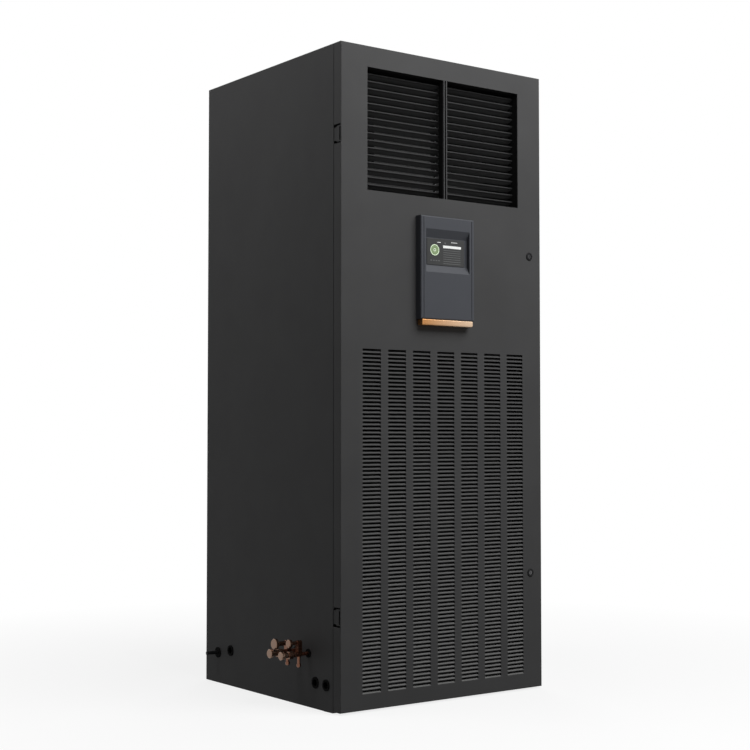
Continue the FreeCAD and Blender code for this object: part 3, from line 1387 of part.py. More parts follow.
def stop_valve(y, radius, spindle):
    """Brass stop valve: a body with a nut, a spindle above it and a service port below, each capped."""
    spindle_rise, spindle_radius, spindle_end = spindle
    outward = point(-1, 0, 0)
    block_end = VALVE_START + VALVE_BLOCK_LENGTH
    neck = radius - VALVE_NECK_INSET
    stem = neck - VALVE_CAP_ROUND
    cap_start = VALVE_CAP_END - VALVE_CAP_LENGTH
    spindle_cap_start = spindle_end - VALVE_CAP_LENGTH
    spindle_z = VALVE_Z + spindle_rise
    body = rod(point(valve_x(VALVE_START), y, VALVE_Z), point(valve_x(cap_start), y, VALVE_Z), neck)
    nut = hex_nut(point(valve_x(VALVE_NUT_START), y, VALVE_Z), radius, VALVE_NUT_LENGTH)
    waist = block(
        (valve_x(block_end), valve_x(VALVE_START)), around(y, 2 * neck), (VALVE_Z, VALVE_Z + spindle_rise)
    )
    boss = rod(point(valve_x(VALVE_START), y, spindle_z), point(valve_x(block_end), y, spindle_z), neck)
    spindle_stem = rod(
        point(valve_x(block_end), y, spindle_z), point(valve_x(spindle_cap_start), y, spindle_z), stem
    )
    port_x = valve_x((VALVE_START + block_end) / 2)
    port_end = VALVE_Z - neck - SERVICE_PORT_LENGTH
    port = rod(point(port_x, y, VALVE_Z), point(port_x, y, port_end), SERVICE_PORT_RADIUS)
    return group([
        welded(body, [nut, waist, boss, spindle_stem, port]),
        capped(point(valve_x(cap_start), y, VALVE_Z), radius, outward),
        capped(point(valve_x(spindle_cap_start), y, spindle_z), spindle_radius, outward),
        capped(point(port_x, y, port_end), SERVICE_CAP_RADIUS, point(0, 0, -1)),
    ])


def gas_valve():
    """The larger stop valve, for the gas line."""
    return stop_valve(GAS_VALVE_Y, GAS_VALVE_RADIUS, GAS_SPINDLE)


def liquid_valve():
    """The smaller stop valve, for the liquid line."""
    return stop_valve(LIQUID_VALVE_Y, LIQUID_VALVE_RADIUS, LIQUID_SPINDLE)


# Electrical box


def box_limits():
    """Return the electrical box's limits in width, depth and height, between the two rails."""
    front = FRAME_FACE + BOX_FROM_FRAME
    low = LOW_RAIL_Z + RAIL_HEIGHT
    return around(0, BOX_WIDTH), (front, front + BOX_DEPTH), (low + SEAT_GAP, HIGH_RAIL_Z - SEAT_GAP)


def electrical_box():
    """Folded tray that stands on the low rail and is open to the front."""
    width, depth, height = box_limits()
    tray = block(width, depth, height)
    hollow = block(
        widened(width, -BOX_SHEET), (depth[0], depth[1] - BOX_SHEET), widened(height, -BOX_SHEET)
    )
    return tray.cut(hollow)


def rail_heights():
    """Return the heights of the two rows of switchgear."""
    low, high = box_limits()[2]
    return (low + (high - low) / 4, high - (high - low) / 4)


def switch_centre():
    """Return the place of the main switch's turning axis on the front of its body."""
    back = box_limits()[1][1] - BOX_SHEET
    return point(SWITCH_X, back - DIN_RAIL_DEPTH - SWITCH_BODY[1], rail_heights()[1])


def switchgear():
    """Two mounting rails with contactors, terminals and the body of the main switch."""
    width, depth, height = box_limits()
    back = depth[1] - BOX_SHEET
    rail_front = back - DIN_RAIL_DEPTH
    terminal_row, contactor_row = rail_heights()
    pieces = [
        block(widened(width, -FILTER_BAR), (rail_front, back), around(row, DIN_RAIL_HEIGHT))
        for row in (terminal_row, contactor_row)
    ]

    def module(centre_x, row, size):
        return block(around(centre_x, size[0]), (rail_front - size[1], rail_front), around(row, size[2]))

    first = width[0] + 2 * FILTER_BAR + CONTACTOR[0] / 2
    for number in range(CONTACTOR_COUNT):
        pieces.append(module(first + number * (CONTACTOR[0] + FILTER_BAR), contactor_row, CONTACTOR))
    first = width[0] + 2 * FILTER_BAR + TERMINAL[0] / 2
    for number in range(TERMINAL_COUNT):
        pieces.append(module(first + number * (TERMINAL[0] + SEAT_GAP), terminal_row, TERMINAL))
    switch = module(SWITCH_X, contactor_row, SWITCH_BODY)
    centre = switch_centre()
    bore = rod(
        centre, centre + point(0, SWITCH_BODY[1] / 2, 0), SWITCH_SHAFT_RADIUS + RUNNING_CLEARANCE
    )
    pieces.append(switch.cut(bore))
    return group(pieces)


def switch_handle():
    """Turning handle of the main switch: a disc with a raised grip, on a short shaft."""
    centre = switch_centre()
    face = centre - point(0, SEAT_GAP + SWITCH_HANDLE_DEPTH, 0)
    disc = rod(centre - point(0, SEAT_GAP, 0), face, SWITCH_HANDLE_RADIUS)
    grip_width, grip_depth, grip_length = SWITCH_GRIP
    grip = block(around(centre.x, grip_width), (face.y - grip_depth, face.y), around(centre.z, grip_length))
    shaft_end = centre + point(0, SWITCH_BODY[1] / 2 - SEAT_GAP, 0)
    shaft = rod(centre - point(0, SEAT_GAP, 0), shaft_end, SWITCH_SHAFT_RADIUS)
    return welded(disc, [grip, shaft])


def all_nodes():
    """Return every node's name with its shape."""
    makers = (
        base_frame, front_frame, left_panel, right_panel, rear_panel, top_panel, side_grommets,
        door_panel, door_gasket, return_grille, grille_louvres, hinge_blocks, hinge_brackets,
        lock_housings, outlet_frame, blade_link, display_housing, display_screen, display_trim,
        fan_bulkhead, blower_housings, blower_motor, blower_wheels, filter_frames, filter_media,
        filter_rack, coil_fins, coil_end_plates, coil_bends, drain_pan, drain_tube, compressor,
        compressor_feet, suction_line, gas_line, liquid_line, filter_drier, gas_valve, liquid_valve,
        electrical_box, switchgear, switch_handle,
    )
    nodes = {maker.__name__: maker() for maker in makers}
    nodes["upper_lock_cam"] = lock_cam(LOCK_HEIGHTS[0])
    nodes["lower_lock_cam"] = lock_cam(LOCK_HEIGHTS[1])
    for number in range(BLADE_COUNT):
        nodes[f"outlet_blade_{number + 1:02d}"] = outlet_blade(number)
    return nodes


def main():
    """Write one STEP file for each node."""
    os.makedirs("parts", exist_ok=True)
    for name, shape in all_nodes().items():
        shape.exportStep(f"parts/{name}.step")


main()
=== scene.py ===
"""Looks of a free-standing precision air conditioner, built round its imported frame.

Lengths are in metres. X runs to the right of someone in front of the door, Y to the back and Z up.
"""

import enum
import json
import logging
import math
from contextlib import contextmanager
from dataclasses import dataclass, field
from typing import Callable, Iterator, Sequence

import bmesh
import bpy
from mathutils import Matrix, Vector

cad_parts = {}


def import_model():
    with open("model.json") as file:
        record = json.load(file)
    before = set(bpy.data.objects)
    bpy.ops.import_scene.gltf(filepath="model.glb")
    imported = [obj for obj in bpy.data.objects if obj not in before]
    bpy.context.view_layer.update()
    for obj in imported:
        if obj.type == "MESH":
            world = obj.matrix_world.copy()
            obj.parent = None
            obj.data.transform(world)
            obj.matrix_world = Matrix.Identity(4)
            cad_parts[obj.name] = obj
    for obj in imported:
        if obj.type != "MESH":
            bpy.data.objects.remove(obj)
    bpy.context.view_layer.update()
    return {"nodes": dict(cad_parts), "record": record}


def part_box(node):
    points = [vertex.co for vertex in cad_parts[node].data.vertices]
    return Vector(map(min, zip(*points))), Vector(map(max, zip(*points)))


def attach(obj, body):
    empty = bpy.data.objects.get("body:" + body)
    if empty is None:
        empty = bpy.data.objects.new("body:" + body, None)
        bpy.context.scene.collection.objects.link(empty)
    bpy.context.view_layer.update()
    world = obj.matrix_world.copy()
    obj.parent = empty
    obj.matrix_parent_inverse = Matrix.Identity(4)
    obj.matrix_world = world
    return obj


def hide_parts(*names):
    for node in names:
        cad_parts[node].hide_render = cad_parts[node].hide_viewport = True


LOG = logging.getLogger("air_conditioner")
MM = 0.001

# Points nearer to each other than this are one point
WELD = 0.00002
# Faces with a fold of fewer degrees than this between them are one flat face
FLAT_FOLD = 0.3
# A face looks along an axis when its normal's part on that axis is over this
FACING = 0.9
# The middle of a noise's range, where nearly all of its values lie
NOISE_MIDDLE = (0.3, 0.7)
# Limits on X and Z of the box behind the display, which are those of its hole in the door
DISPLAY_BOX = ((-70.0 * MM, 50.0 * MM), (1083.5 * MM, 1243.5 * MM))

Colour = tuple[float, float, float]
Size = tuple[float, float, float]
Span = tuple[float, float]
Limits = tuple[Span, Span, Span]
Piece = bpy.types.Object
Material = bpy.types.Material
Socket = bpy.types.NodeSocket
Vert = bmesh.types.BMVert
Edge = bmesh.types.BMEdge
Face = bmesh.types.BMFace


class Axis(enum.Enum):
    """Direction of a cut, a rod or a fade."""

    X = 0
    Y = 1
    Z = 2


class Mesh(enum.Enum):
    """Kind of mesh element that an edit works on."""

    VERT = "VERT"
    EDGE = "EDGE"
    FACE = "FACE"


# Modelling by hand


def make_active(piece: Piece) -> None:
    """Select one piece and nothing else.

    Args:
        piece: the object.
    """
    bpy.ops.object.select_all(action="DESELECT")
    piece.select_set(True)
    bpy.context.view_layer.objects.active = piece


@contextmanager
def editing(piece: Piece) -> Iterator[None]:
    """Open a piece in edit mode with nothing selected.

    Args:
        piece: the mesh object to edit.

    Yields:
        Nothing, while the piece is open.
    """
    make_active(piece)
    bpy.ops.object.mode_set(mode="EDIT")
    bpy.ops.mesh.select_all(action="DESELECT")
    yield
    bpy.ops.object.mode_set(mode="OBJECT")


def pick(piece: Piece, kind: Mesh, test: Callable[..., bool]) -> None:
    """Select the elements of the open piece that pass a test.

    Args:
        piece: the object that is in edit mode.
        kind: what to select.
        test: takes a bmesh vertex, edge or face and says whether to select it.
    """
    bpy.ops.mesh.select_mode(type=kind.value)
    bpy.ops.mesh.select_all(action="DESELECT")
    shape = bmesh.from_edit_mesh(piece.data)
    elements = {Mesh.VERT: shape.verts, Mesh.EDGE: shape.edges, Mesh.FACE: shape.faces}[kind]
    for element in [one for one in elements if test(one)]:
        element.select_set(True)
    bmesh.update_edit_mesh(piece.data)


def cut_across(
    piece: Piece,
    axis: Axis,
    places: Sequence[float],
    test: Callable[[Face], bool] = lambda face: True,
) -> None:
    """Bisect faces of the open piece along planes square to an axis.

    Args:
        piece: the object that is in edit mode.
        axis: the axis that the planes are square to.
        places: where the planes stand on that axis.
        test: picks the faces to cut.
    """
    normal = [0.0, 0.0, 0.0]
    normal[axis.value] = 1.0
    for place in places:
        spot = [0.0, 0.0, 0.0]
        spot[axis.value] = place
        pick(piece, Mesh.FACE, test)
        bpy.ops.mesh.bisect(plane_co=spot, plane_no=normal)


def shift(x: float = 0.0, y: float = 0.0, z: float = 0.0) -> None:
    """Move what is selected in edit mode."""
    bpy.ops.transform.translate(value=(x, y, z))


def extrude(x: float = 0.0, y: float = 0.0, z: float = 0.0) -> None:
    """Extrude what is selected in edit mode."""
    bpy.ops.mesh.extrude_region_move(TRANSFORM_OT_translate={"value": (x, y, z)})


def settle(piece: Piece, name: str) -> Piece:
    """Apply a new primitive's place to its mesh and name it.

    Args:
        piece: the primitive just added.
        name: the piece's name.

    Returns:
        The same object, at the origin.
    """
    make_active(piece)
    bpy.ops.object.transform_apply(location=True, rotation=True, scale=True)
    piece.name = name
    piece.data.name = name
    return piece


def add_box(name: str, across: Span, depth: Span, height: Span) -> Piece:
    """Add a box between limits.

    Args:
        name: the piece's name.
        across: its limits on X.
        depth: its limits on Y.
        height: its limits on Z.

    Returns:
        The new object.
    """
    bpy.ops.object.select_all(action="DESELECT")
    spans = (across, depth, height)
    bpy.ops.mesh.primitive_cube_add(size=1.0, location=[(low + high) / 2 for low, high in spans])
    piece = bpy.context.object
    piece.scale = [high - low for low, high in spans]
    return settle(piece, name)


def add_sheet(name: str, across: Span, height: Span, y: float) -> Piece:
    """Add an upright sheet that faces the front.

    Args:
        name: the piece's name.
        across: its limits on X.
        height: its limits on Z.
        y: its place on Y.

    Returns:
        The new object.
    """
    bpy.ops.object.select_all(action="DESELECT")
    middle = ((across[0] + across[1]) / 2, y, (height[0] + height[1]) / 2)
    bpy.ops.mesh.primitive_plane_add(size=1.0, location=middle, rotation=(math.pi / 2, 0, 0))
    piece = bpy.context.object
    piece.scale = (across[1] - across[0], height[1] - height[0], 1.0)
    return settle(piece, name)


def add_rod(
    name: str, centre: Vector, radius: float, length: float, axis: Axis, sides: int = 32
) -> Piece:
    """Add a round or many-sided rod.

    Args:
        name: the piece's name.
        centre: the middle of the rod.
        radius: its radius.
        length: its length.
        axis: the direction that it runs in.
        sides: the number of its sides.

    Returns:
        The new object.
    """
    bpy.ops.object.select_all(action="DESELECT")
    turns = {Axis.X: (0, math.pi / 2, 0), Axis.Y: (math.pi / 2, 0, 0), Axis.Z: (0, 0, 0)}
    bpy.ops.mesh.primitive_cylinder_add(
        vertices=sides, radius=radius, depth=length, location=centre, rotation=turns[axis]
    )
    return settle(bpy.context.object, name)


def add_modifier(piece: Piece, kind: str, **settings: object) -> None:
    """Add a modifier to a piece and apply it.

    Args:
        piece: the object.
        kind: the modifier's type.
        settings: its properties.
    """
    make_active(piece)
    modifier = piece.modifiers.new(kind.lower(), kind)
    for key, value in settings.items():
        setattr(modifier, key, value)
    bpy.ops.object.modifier_apply(modifier=modifier.name)


def round_edges(piece: Piece, width: float, segments: int = 2, angle: float = 40.0) -> None:
    """Round a piece's sharp edges and shade it smooth.

    Args:
        piece: the object.
        width: how far the rounding reaches from each edge.
        segments: the number of facets in it.
        angle: the least fold, in degrees, that counts as an edge.
    """
    add_modifier(
        piece, "BEVEL", width=width, segments=segments, limit_method="ANGLE", angle_limit=math.radians(angle)
    )
    smooth(piece)


def smooth(piece: Piece, angle: float = 35.0) -> None:
    """Shade a piece smooth except at folds sharper than an angle, with its flats kept flat.

    Args:
        piece: the object.
        angle: the least fold, in degrees, that stays sharp.
    """
    make_active(piece)
    bpy.ops.object.shade_smooth_by_angle(angle=math.radians(angle))
    add_modifier(piece, "WEIGHTED_NORMAL", keep_sharp=True)


def weld(piece: Piece) -> None:
    """Merge a piece's doubled points.

    Args:
        piece: the object.
    """
    with editing(piece):
        bpy.ops.mesh.select_all(action="SELECT")
        bpy.ops.mesh.remove_doubles(threshold=WELD)


def joined(pieces: Sequence[Piece], name: str) -> Piece:
    """Join pieces into one object.

    Args:
        pieces: the objects.
        name: the name of the result.

    Returns:
        The joined object.
    """
    make_active(pieces[0])
    for piece in pieces:
        piece.select_set(True)
    bpy.ops.object.join()
    pieces[0].name = name
    return pieces[0]


def copied(piece: Piece, name: str, step: Vector) -> Piece:
    """Copy a piece, with its own mesh, to another place.

    Args:
        piece: the object to copy.
        name: the copy's name.
        step: how far the copy is moved.

    Returns:
        The copy, at the origin.
    """
    twin = piece.copy()
    twin.data = piece.data.copy()
    bpy.context.collection.objects.link(twin)
    twin.location = step
    return settle(twin, name)


def softened(node: Piece, name: str, width: float, segments: int = 2) -> Piece:
    """Copy a solid's mesh, smooth its curves and round its edges.

    Args:
        node: the solid's object.
        name: the copy's name.
        width: how far the rounding reaches from each edge, or nothing to leave them sharp.
        segments: the number of facets in it.

    Returns:
        The new object.
    """
    piece = bpy.data.objects.new(name, node.data.copy())
    bpy.context.collection.objects.link(piece)
    make_active(piece)
    bpy.ops.mesh.customdata_custom_splitnormals_clear()
    weld(piece)
    with editing(piece):
        bpy.ops.mesh.select_all(action="SELECT")
        bpy.ops.mesh.dissolve_limited(angle_limit=math.radians(FLAT_FOLD))
    if width:
        round_edges(piece, width, segments)
    else:
        smooth(piece)
    return piece


def hand_over(piece: Piece, body: str, slot: str, finish: Material, *nodes: str) -> None:
    """Dress a piece, set it on its body and report it.

    Args:
        piece: the object.
        body: the body that it rides on.
        slot: the slot that its finish comes from; not used.
        finish: the material.
        nodes: the solids that it stands for.
    """
    piece.data.materials.clear()
    piece.data.materials.append(finish)
    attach(piece, body)
    if nodes:
        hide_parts(*nodes)
    LOG.info("%s on %s: %d faces", piece.name, body, len(piece.data.polygons))


def limits(node: str) -> Limits:
    """Return a solid's limits on the three axes."""
    low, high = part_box(node)
    return (low.x, high.x), (low.y, high.y), (low.z, high.z)


# Shader building


@dataclass
class Tree:
    """A node tree with short calls for adding and linking nodes."""

    nodes: bpy.types.Nodes
    links: bpy.types.NodeLinks

    def add(self, kind: str, **settings: object) -> bpy.types.Node:
        """Add a node and set its properties.

        Args:
            kind: the node's type.
            settings: its properties.

        Returns:
            The new node.
        """
        node = self.nodes.new(kind)
        for key, value in settings.items():
            setattr(node, key, value)
        return node

    def join(self, source: Socket, target: Socket) -> None:
        """Link one socket to another."""
        self.links.new(source, target)

    def noise(self, place: Socket, scale: float, detail: float = 3.0) -> Socket:
        """Add a noise texture and return its value.

        Args:
            place: the coordinates that it reads.
            scale: the pattern's repeats in a metre.
            detail: the number of finer layers.

        Returns:
            The noise value, from 0 to 1.
        """
        node = self.add("ShaderNodeTexNoise")
        node.inputs["Scale"].default_value = scale
        node.inputs["Detail"].default_value = detail
        self.join(place, node.inputs["Vector"])
        return node.outputs[0]

    def stretch(self, place: Socket, scale: Sequence[float]) -> Socket:
        """Scale coordinates by axis.

        Args:
            place: the coordinates.
            scale: the factor on each axis.

        Returns:
            The scaled coordinates.
        """
        node = self.add("ShaderNodeMapping")
        node.inputs["Scale"].default_value = scale
        self.join(place, node.inputs["Vector"])
        return node.outputs[0]

    def blend(self, mask: Socket, dark: Colour, light: Colour, span: Span = (0.0, 1.0)) -> Socket:
        """Turn a mask into a colour between two.

        Args:
            mask: the mask value.
            dark: the colour at the low end.
            light: the colour at the high end.
            span: the mask values at the two ends.

        Returns:
            The colour.
        """
        node = self.add("ShaderNodeValToRGB")
        low, high = node.color_ramp.elements
        low.position, high.position = span
        low.color = (*dark, 1.0)
        high.color = (*light, 1.0)
        self.join(mask, node.inputs[0])
        return node.outputs[0]

    def spread(self, mask: Socket, to: Span, span: Span = NOISE_MIDDLE) -> Socket:
        """Map a mask to a range of values.

        Args:
            mask: the mask value.
            to: the values at the two ends.
            span: the mask values at the two ends.

        Returns:
            The mapped value.
        """
        node = self.add("ShaderNodeMapRange")
        keys = ("From Min", "From Max", "To Min", "To Max")
        for key, value in zip(keys, (*span, *to)):
            node.inputs[key].default_value = value
        self.join(mask, node.inputs["Value"])
        return node.outputs[0]

    def bump(self, height: Socket, depth: float) -> Socket:
        """Turn a height into a normal.

        Args:
            height: the height, from 0 to 1.
            depth: the relief's depth.

        Returns:
            The normal.
        """
        node = self.add("ShaderNodeBump")
        node.inputs["Distance"].default_value = depth
        self.join(height, node.inputs["Height"])
        return node.outputs[0]


@dataclass(frozen=True)
class Layers:
    """A shader group of two noises, a fine and a broad one, which are its outputs.

    Each finish sets the fine one's scale.
    """

    name: str
    fine: str
    fine_detail: float
    broad: str
    broad_scale: float
    broad_detail: float

    def build(self) -> bpy.types.NodeTree:
        """Make the group.

        Returns:
            The group, which reads a place and a scale and gives the two noises.
        """
        group = bpy.data.node_groups.new(self.name, "ShaderNodeTree")
        for key, kind in (("Place", "NodeSocketVector"), ("Scale", "NodeSocketFloat")):
            group.interface.new_socket(key, in_out="INPUT", socket_type=kind)
        for key in (self.fine, self.broad):
            group.interface.new_socket(key, in_out="OUTPUT", socket_type="NodeSocketFloat")
        tree = Tree(group.nodes, group.links)
        start = tree.add("NodeGroupInput")
        end = tree.add("NodeGroupOutput")
        place = start.outputs["Place"]
        fine = tree.add("ShaderNodeTexNoise")
        fine.inputs["Detail"].default_value = self.fine_detail
        tree.join(place, fine.inputs["Vector"])
        tree.join(start.outputs["Scale"], fine.inputs["Scale"])
        tree.join(fine.outputs[0], end.inputs[self.fine])
        tree.join(tree.noise(place, self.broad_scale, self.broad_detail), end.inputs[self.broad])
        return group


# Fine grain, and a broad cloudiness of the colour
GRAIN = Layers("surface_grain", "Grain", 2.0, "Cloud", broad_scale=7.0, broad_detail=5.0)
# Fine lines, and the blotches of bare metal that has been handled
DRAWN = Layers("drawn_metal", "Lines", 4.0, "Blotch", broad_scale=30.0, broad_detail=6.0)


class Effects:
    """Shader groups that several finishes share, each built once."""

    def __init__(self) -> None:
        """Build the groups."""
        self._groups = {layers: layers.build() for layers in (GRAIN, DRAWN)}

    def group(self, layers: Layers) -> bpy.types.NodeTree:
        """Return the group that was built from a pair of layers."""
        return self._groups[layers]


@dataclass(frozen=True)
class Finish:
    """What every finish holds: two shades of its colour, a roughness range and a relief."""

    name: str
    dark: Colour
    light: Colour
    roughness: Span
    relief: float = 0.00004
    scale: float = 900.0
    metallic: float = 0.0
    specular: float = 0.5
    coat: float = 0.0
    coat_roughness: float = 0.12

    def start(self) -> tuple[Material, Tree, bpy.types.Node, Socket]:
        """Make the material and set the values that are the same all over.

        Returns:
            The material, its tree, its shader and its object coordinates.
        """
        material = bpy.data.materials.new(self.name)
        material.use_nodes = True
        tree = Tree(material.node_tree.nodes, material.node_tree.links)
        shader = material.node_tree.nodes["Principled BSDF"]
        shader.inputs["Metallic"].default_value = self.metallic
        shader.inputs["Specular IOR Level"].default_value = self.specular
        shader.inputs["Coat Weight"].default_value = self.coat
        shader.inputs["Coat Roughness"].default_value = self.coat_roughness
        place = tree.add("ShaderNodeTexCoord").outputs["Object"]
        return material, tree, shader, place

    def surface(self, tree: Tree, shader: bpy.types.Node, colour: Socket, fine: Socket) -> None:
        """Link the colour, and the roughness and the relief that come from one fine pattern.

        Args:
            tree: the material's tree.
            shader: its shader.
            colour: the colour.
            fine: the fine pattern, from 0 to 1.
        """
        tree.join(colour, shader.inputs["Base Color"])
        tree.join(tree.spread(fine, self.roughness), shader.inputs["Roughness"])
        tree.join(tree.bump(fine, self.relief), shader.inputs["Normal"])

    def layered(self, group: bpy.types.NodeTree, layers: Layers) -> Material:
        """Make the material from a shared group.

        Args:
            group: the group.
            layers: the pair of layers that it was built from.

        Returns:
            The material.
        """
        material, tree, shader, place = self.start()
        node = tree.add("ShaderNodeGroup", node_tree=group)
        node.inputs["Scale"].default_value = self.scale
        tree.join(place, node.inputs["Place"])
        colour = tree.blend(node.outputs[layers.broad], self.dark, self.light, NOISE_MIDDLE)
        self.surface(tree, shader, colour, node.outputs[layers.fine])
        return material

    def build(self, effects: Effects) -> Material:
        """Make the material.

        Args:
            effects: the shared shader groups.

        Returns:
            The material.
        """
        raise NotImplementedError


@dataclass(frozen=True)
class Grained(Finish):
    """Powder coat, moulded plastic, rubber or foam: a grain over a slightly cloudy colour."""

    def build(self, effects: Effects) -> Material:
        """Make the material from the grain group."""
        return self.layered(effects.group(GRAIN), GRAIN)


@dataclass(frozen=True)
class PaintedLedgeLight(Grained):
    """A powder coat with painted light on the ledges that face up: they are painted paler, more so towards
    the floor.
    """

    # The pale colour painted on the ledges that face up, a painted highlight for the light from above
    dust_and_painted_light: Colour = (0.15, 0.15, 0.148)
    ledge: Span = (0.2, 0.45)
    height: Span = (0.05, 0.95)
    thinning: float = 1.5
    mix_colours: tuple[int, int, int] = (6, 7, 2)

    def build(self, effects: Effects) -> Material:
        """Make the material from the powder coat and a mask of painted light on the ledges that face up.

        The Mix node's colour sockets go by number, because its other sockets have the same names.

        Args:
            effects: the shared shader groups.

        Returns:
            The material.
        """
        material = super().build(effects)
        tree = Tree(material.node_tree.nodes, material.node_tree.links)
        colour = material.node_tree.nodes["Principled BSDF"].inputs["Base Color"]
        paint = colour.links[0].from_socket
        surface = tree.add("ShaderNodeTexCoord")
        facing = tree.add("ShaderNodeSeparateXYZ")
        tree.join(surface.outputs["Normal"], facing.inputs[0])
        place = tree.add("ShaderNodeSeparateXYZ")
        tree.join(surface.outputs["Object"], place.inputs[0])
        # Painted light: it grows towards the floor, on the faces that look up
        thickness = tree.add("ShaderNodeMath", operation="POWER")
        tree.join(tree.spread(place.outputs["Z"], (1.0, 0.0), self.height), thickness.inputs[0])
        thickness.inputs[1].default_value = self.thinning
        mask = tree.add("ShaderNodeMath", operation="MULTIPLY")
        tree.join(tree.spread(facing.outputs["Z"], (0.0, 1.0), self.ledge), mask.inputs[0])
        tree.join(thickness.outputs[0], mask.inputs[1])
        mix = tree.add("ShaderNodeMix", data_type="RGBA")
        tree.join(mask.outputs[0], mix.inputs["Factor"])
        plain_input, lit_input, result = self.mix_colours
        tree.join(paint, mix.inputs[plain_input])
        mix.inputs[lit_input].default_value = (*self.dust_and_painted_light, 1.0)
        tree.join(mix.outputs[result], colour)
        return material


@dataclass(frozen=True)
class Drawn(Finish):
    """Bare metal with fine lines and handled blotches."""

    def build(self, effects: Effects) -> Material:
        """Make the material from the drawn-metal group."""
        return self.layered(effects.group(DRAWN), DRAWN)


@dataclass(frozen=True)
class Faded(Finish):
    """A brushed surface whose colour fades from one end to the other. On the display's trim the fade is a
    painted reflection, and on the outlet's blades and frame it is painted light and shade.
    """

    span: Span = (0.0, 1.0)
    along: Axis = Axis.X
    # Factors by axis, of which the small one draws the lines out along X
    lines: Size = (0.02, 1.0, 1.0)
    line_detail: float = 4.0

    def build(self, effects: Effects) -> Material:
        """Make the material from a fade along the piece and fine lines.

        Args:
            effects: the shared shader groups.

        Returns:
            The material.
        """
        material, tree, shader, place = self.start()
        parts = tree.add("ShaderNodeSeparateXYZ")
        tree.join(place, parts.inputs[0])
        along = tree.spread(parts.outputs[self.along.name], (0.0, 1.0), self.span)
        lines = tree.noise(tree.stretch(place, self.lines), self.scale, self.line_detail)
        self.surface(tree, shader, tree.blend(along, self.dark, self.light), lines)
        return material


@dataclass(frozen=True)
class Spangled(Finish):
    """Hot-dip zinc with its flat crystals."""

    relief_scale: float = 400.0

    def build(self, effects: Effects) -> Material:
        """Make the material from flat crystals and a finer relief.

        Args:
            effects: the shared shader groups.

        Returns:
            The material.
        """
        material, tree, shader, place = self.start()
        crystals = tree.add("ShaderNodeTexVoronoi")
        crystals.inputs["Scale"].default_value = self.scale
        tree.join(place, crystals.inputs["Vector"])
        value = tree.add("ShaderNodeRGBToBW")
        tree.join(crystals.outputs["Color"], value.inputs[0])
        tree.join(tree.blend(value.outputs[0], self.dark, self.light), shader.inputs["Base Color"])
        tree.join(tree.spread(value.outputs[0], self.roughness, (0.0, 1.0)), shader.inputs["Roughness"])
        tree.join(tree.bump(tree.noise(place, self.relief_scale), self.relief), shader.inputs["Normal"])
        return material


@dataclass(frozen=True)
class Finned(Finish):
    """A pack of thin fins seen edge on."""

    fin: Span = (0.1, 0.9)
    stain_scale: float = 40.0

    def build(self, effects: Effects) -> Material:
        """Make the material from close bands across the pack.

        Args:
            effects: the shared shader groups.

        Returns:
            The material.
        """
        material, tree, shader, place = self.start()
        bands = tree.add("ShaderNodeTexWave", wave_type="BANDS", bands_direction="X")
        bands.inputs["Scale"].default_value = self.scale
        tree.join(place, bands.inputs["Vector"])
        colour = tree.blend(bands.outputs["Fac"], self.dark, self.light, self.fin)
        tree.join(colour, shader.inputs["Base Color"])
        stains = tree.noise(place, self.stain_scale)
        tree.join(tree.spread(stains, self.roughness), shader.inputs["Roughness"])
        tree.join(tree.bump(bands.outputs["Fac"], self.relief), shader.inputs["Normal"])
        return material


@dataclass(frozen=True)
class Fibrous(Finish):
    """Needled filter cloth."""

    # Factors by axis, of which the small one draws the fibres out upwards
    fibre: Size = (1.0, 1.0, 0.25)
    fibre_detail: float = 8.0
    dust_scale: float = 18.0
    dust_detail: float = 4.0
    dust_span: Span = (0.35, 0.65)

    def build(self, effects: Effects) -> Material:
        """Make the material from upright fibres and a dusty colour.

        Args:
            effects: the shared shader groups.

        Returns:
            The material.
        """
        material, tree, shader, place = self.start()
        fibres = tree.noise(tree.stretch(place, self.fibre), self.scale, self.fibre_detail)
        dust_and_painted_light = tree.noise(place, self.dust_scale, self.dust_detail)
        self.surface(tree, shader, tree.blend(dust_and_painted_light, self.dark, self.light, self.dust_span), fibres)
        return material


@dataclass(frozen=True)
class Lit(Finish):
    """A mark on the screen that gives its own light."""

    glow: float = 0.8
    point_detail: float = 1.0
    point_span: Span = (0.3, 0.6)

    def build(self, effects: Effects) -> Material:
        """Make the material with a faint speckle of picture points.

        Args:
            effects: the shared shader groups.

        Returns:
            The material.
        """
        material, tree, shader, place = self.start()
        points = tree.noise(place, self.scale, self.point_detail)
        colour = tree.blend(points, self.dark, self.light, self.point_span)
        tree.join(colour, shader.inputs["Base Color"])
        tree.join(colour, shader.inputs["Emission Color"])
        tree.join(tree.spread(points, self.roughness), shader.inputs["Roughness"])
        shader.inputs["Emission Strength"].default_value = self.glow
        return material


# The cabinet's grey, dark and light
CABINET_GREY: tuple[Colour, Colour] = ((0.047, 0.047, 0.0475), (0.053, 0.053, 0.0535))

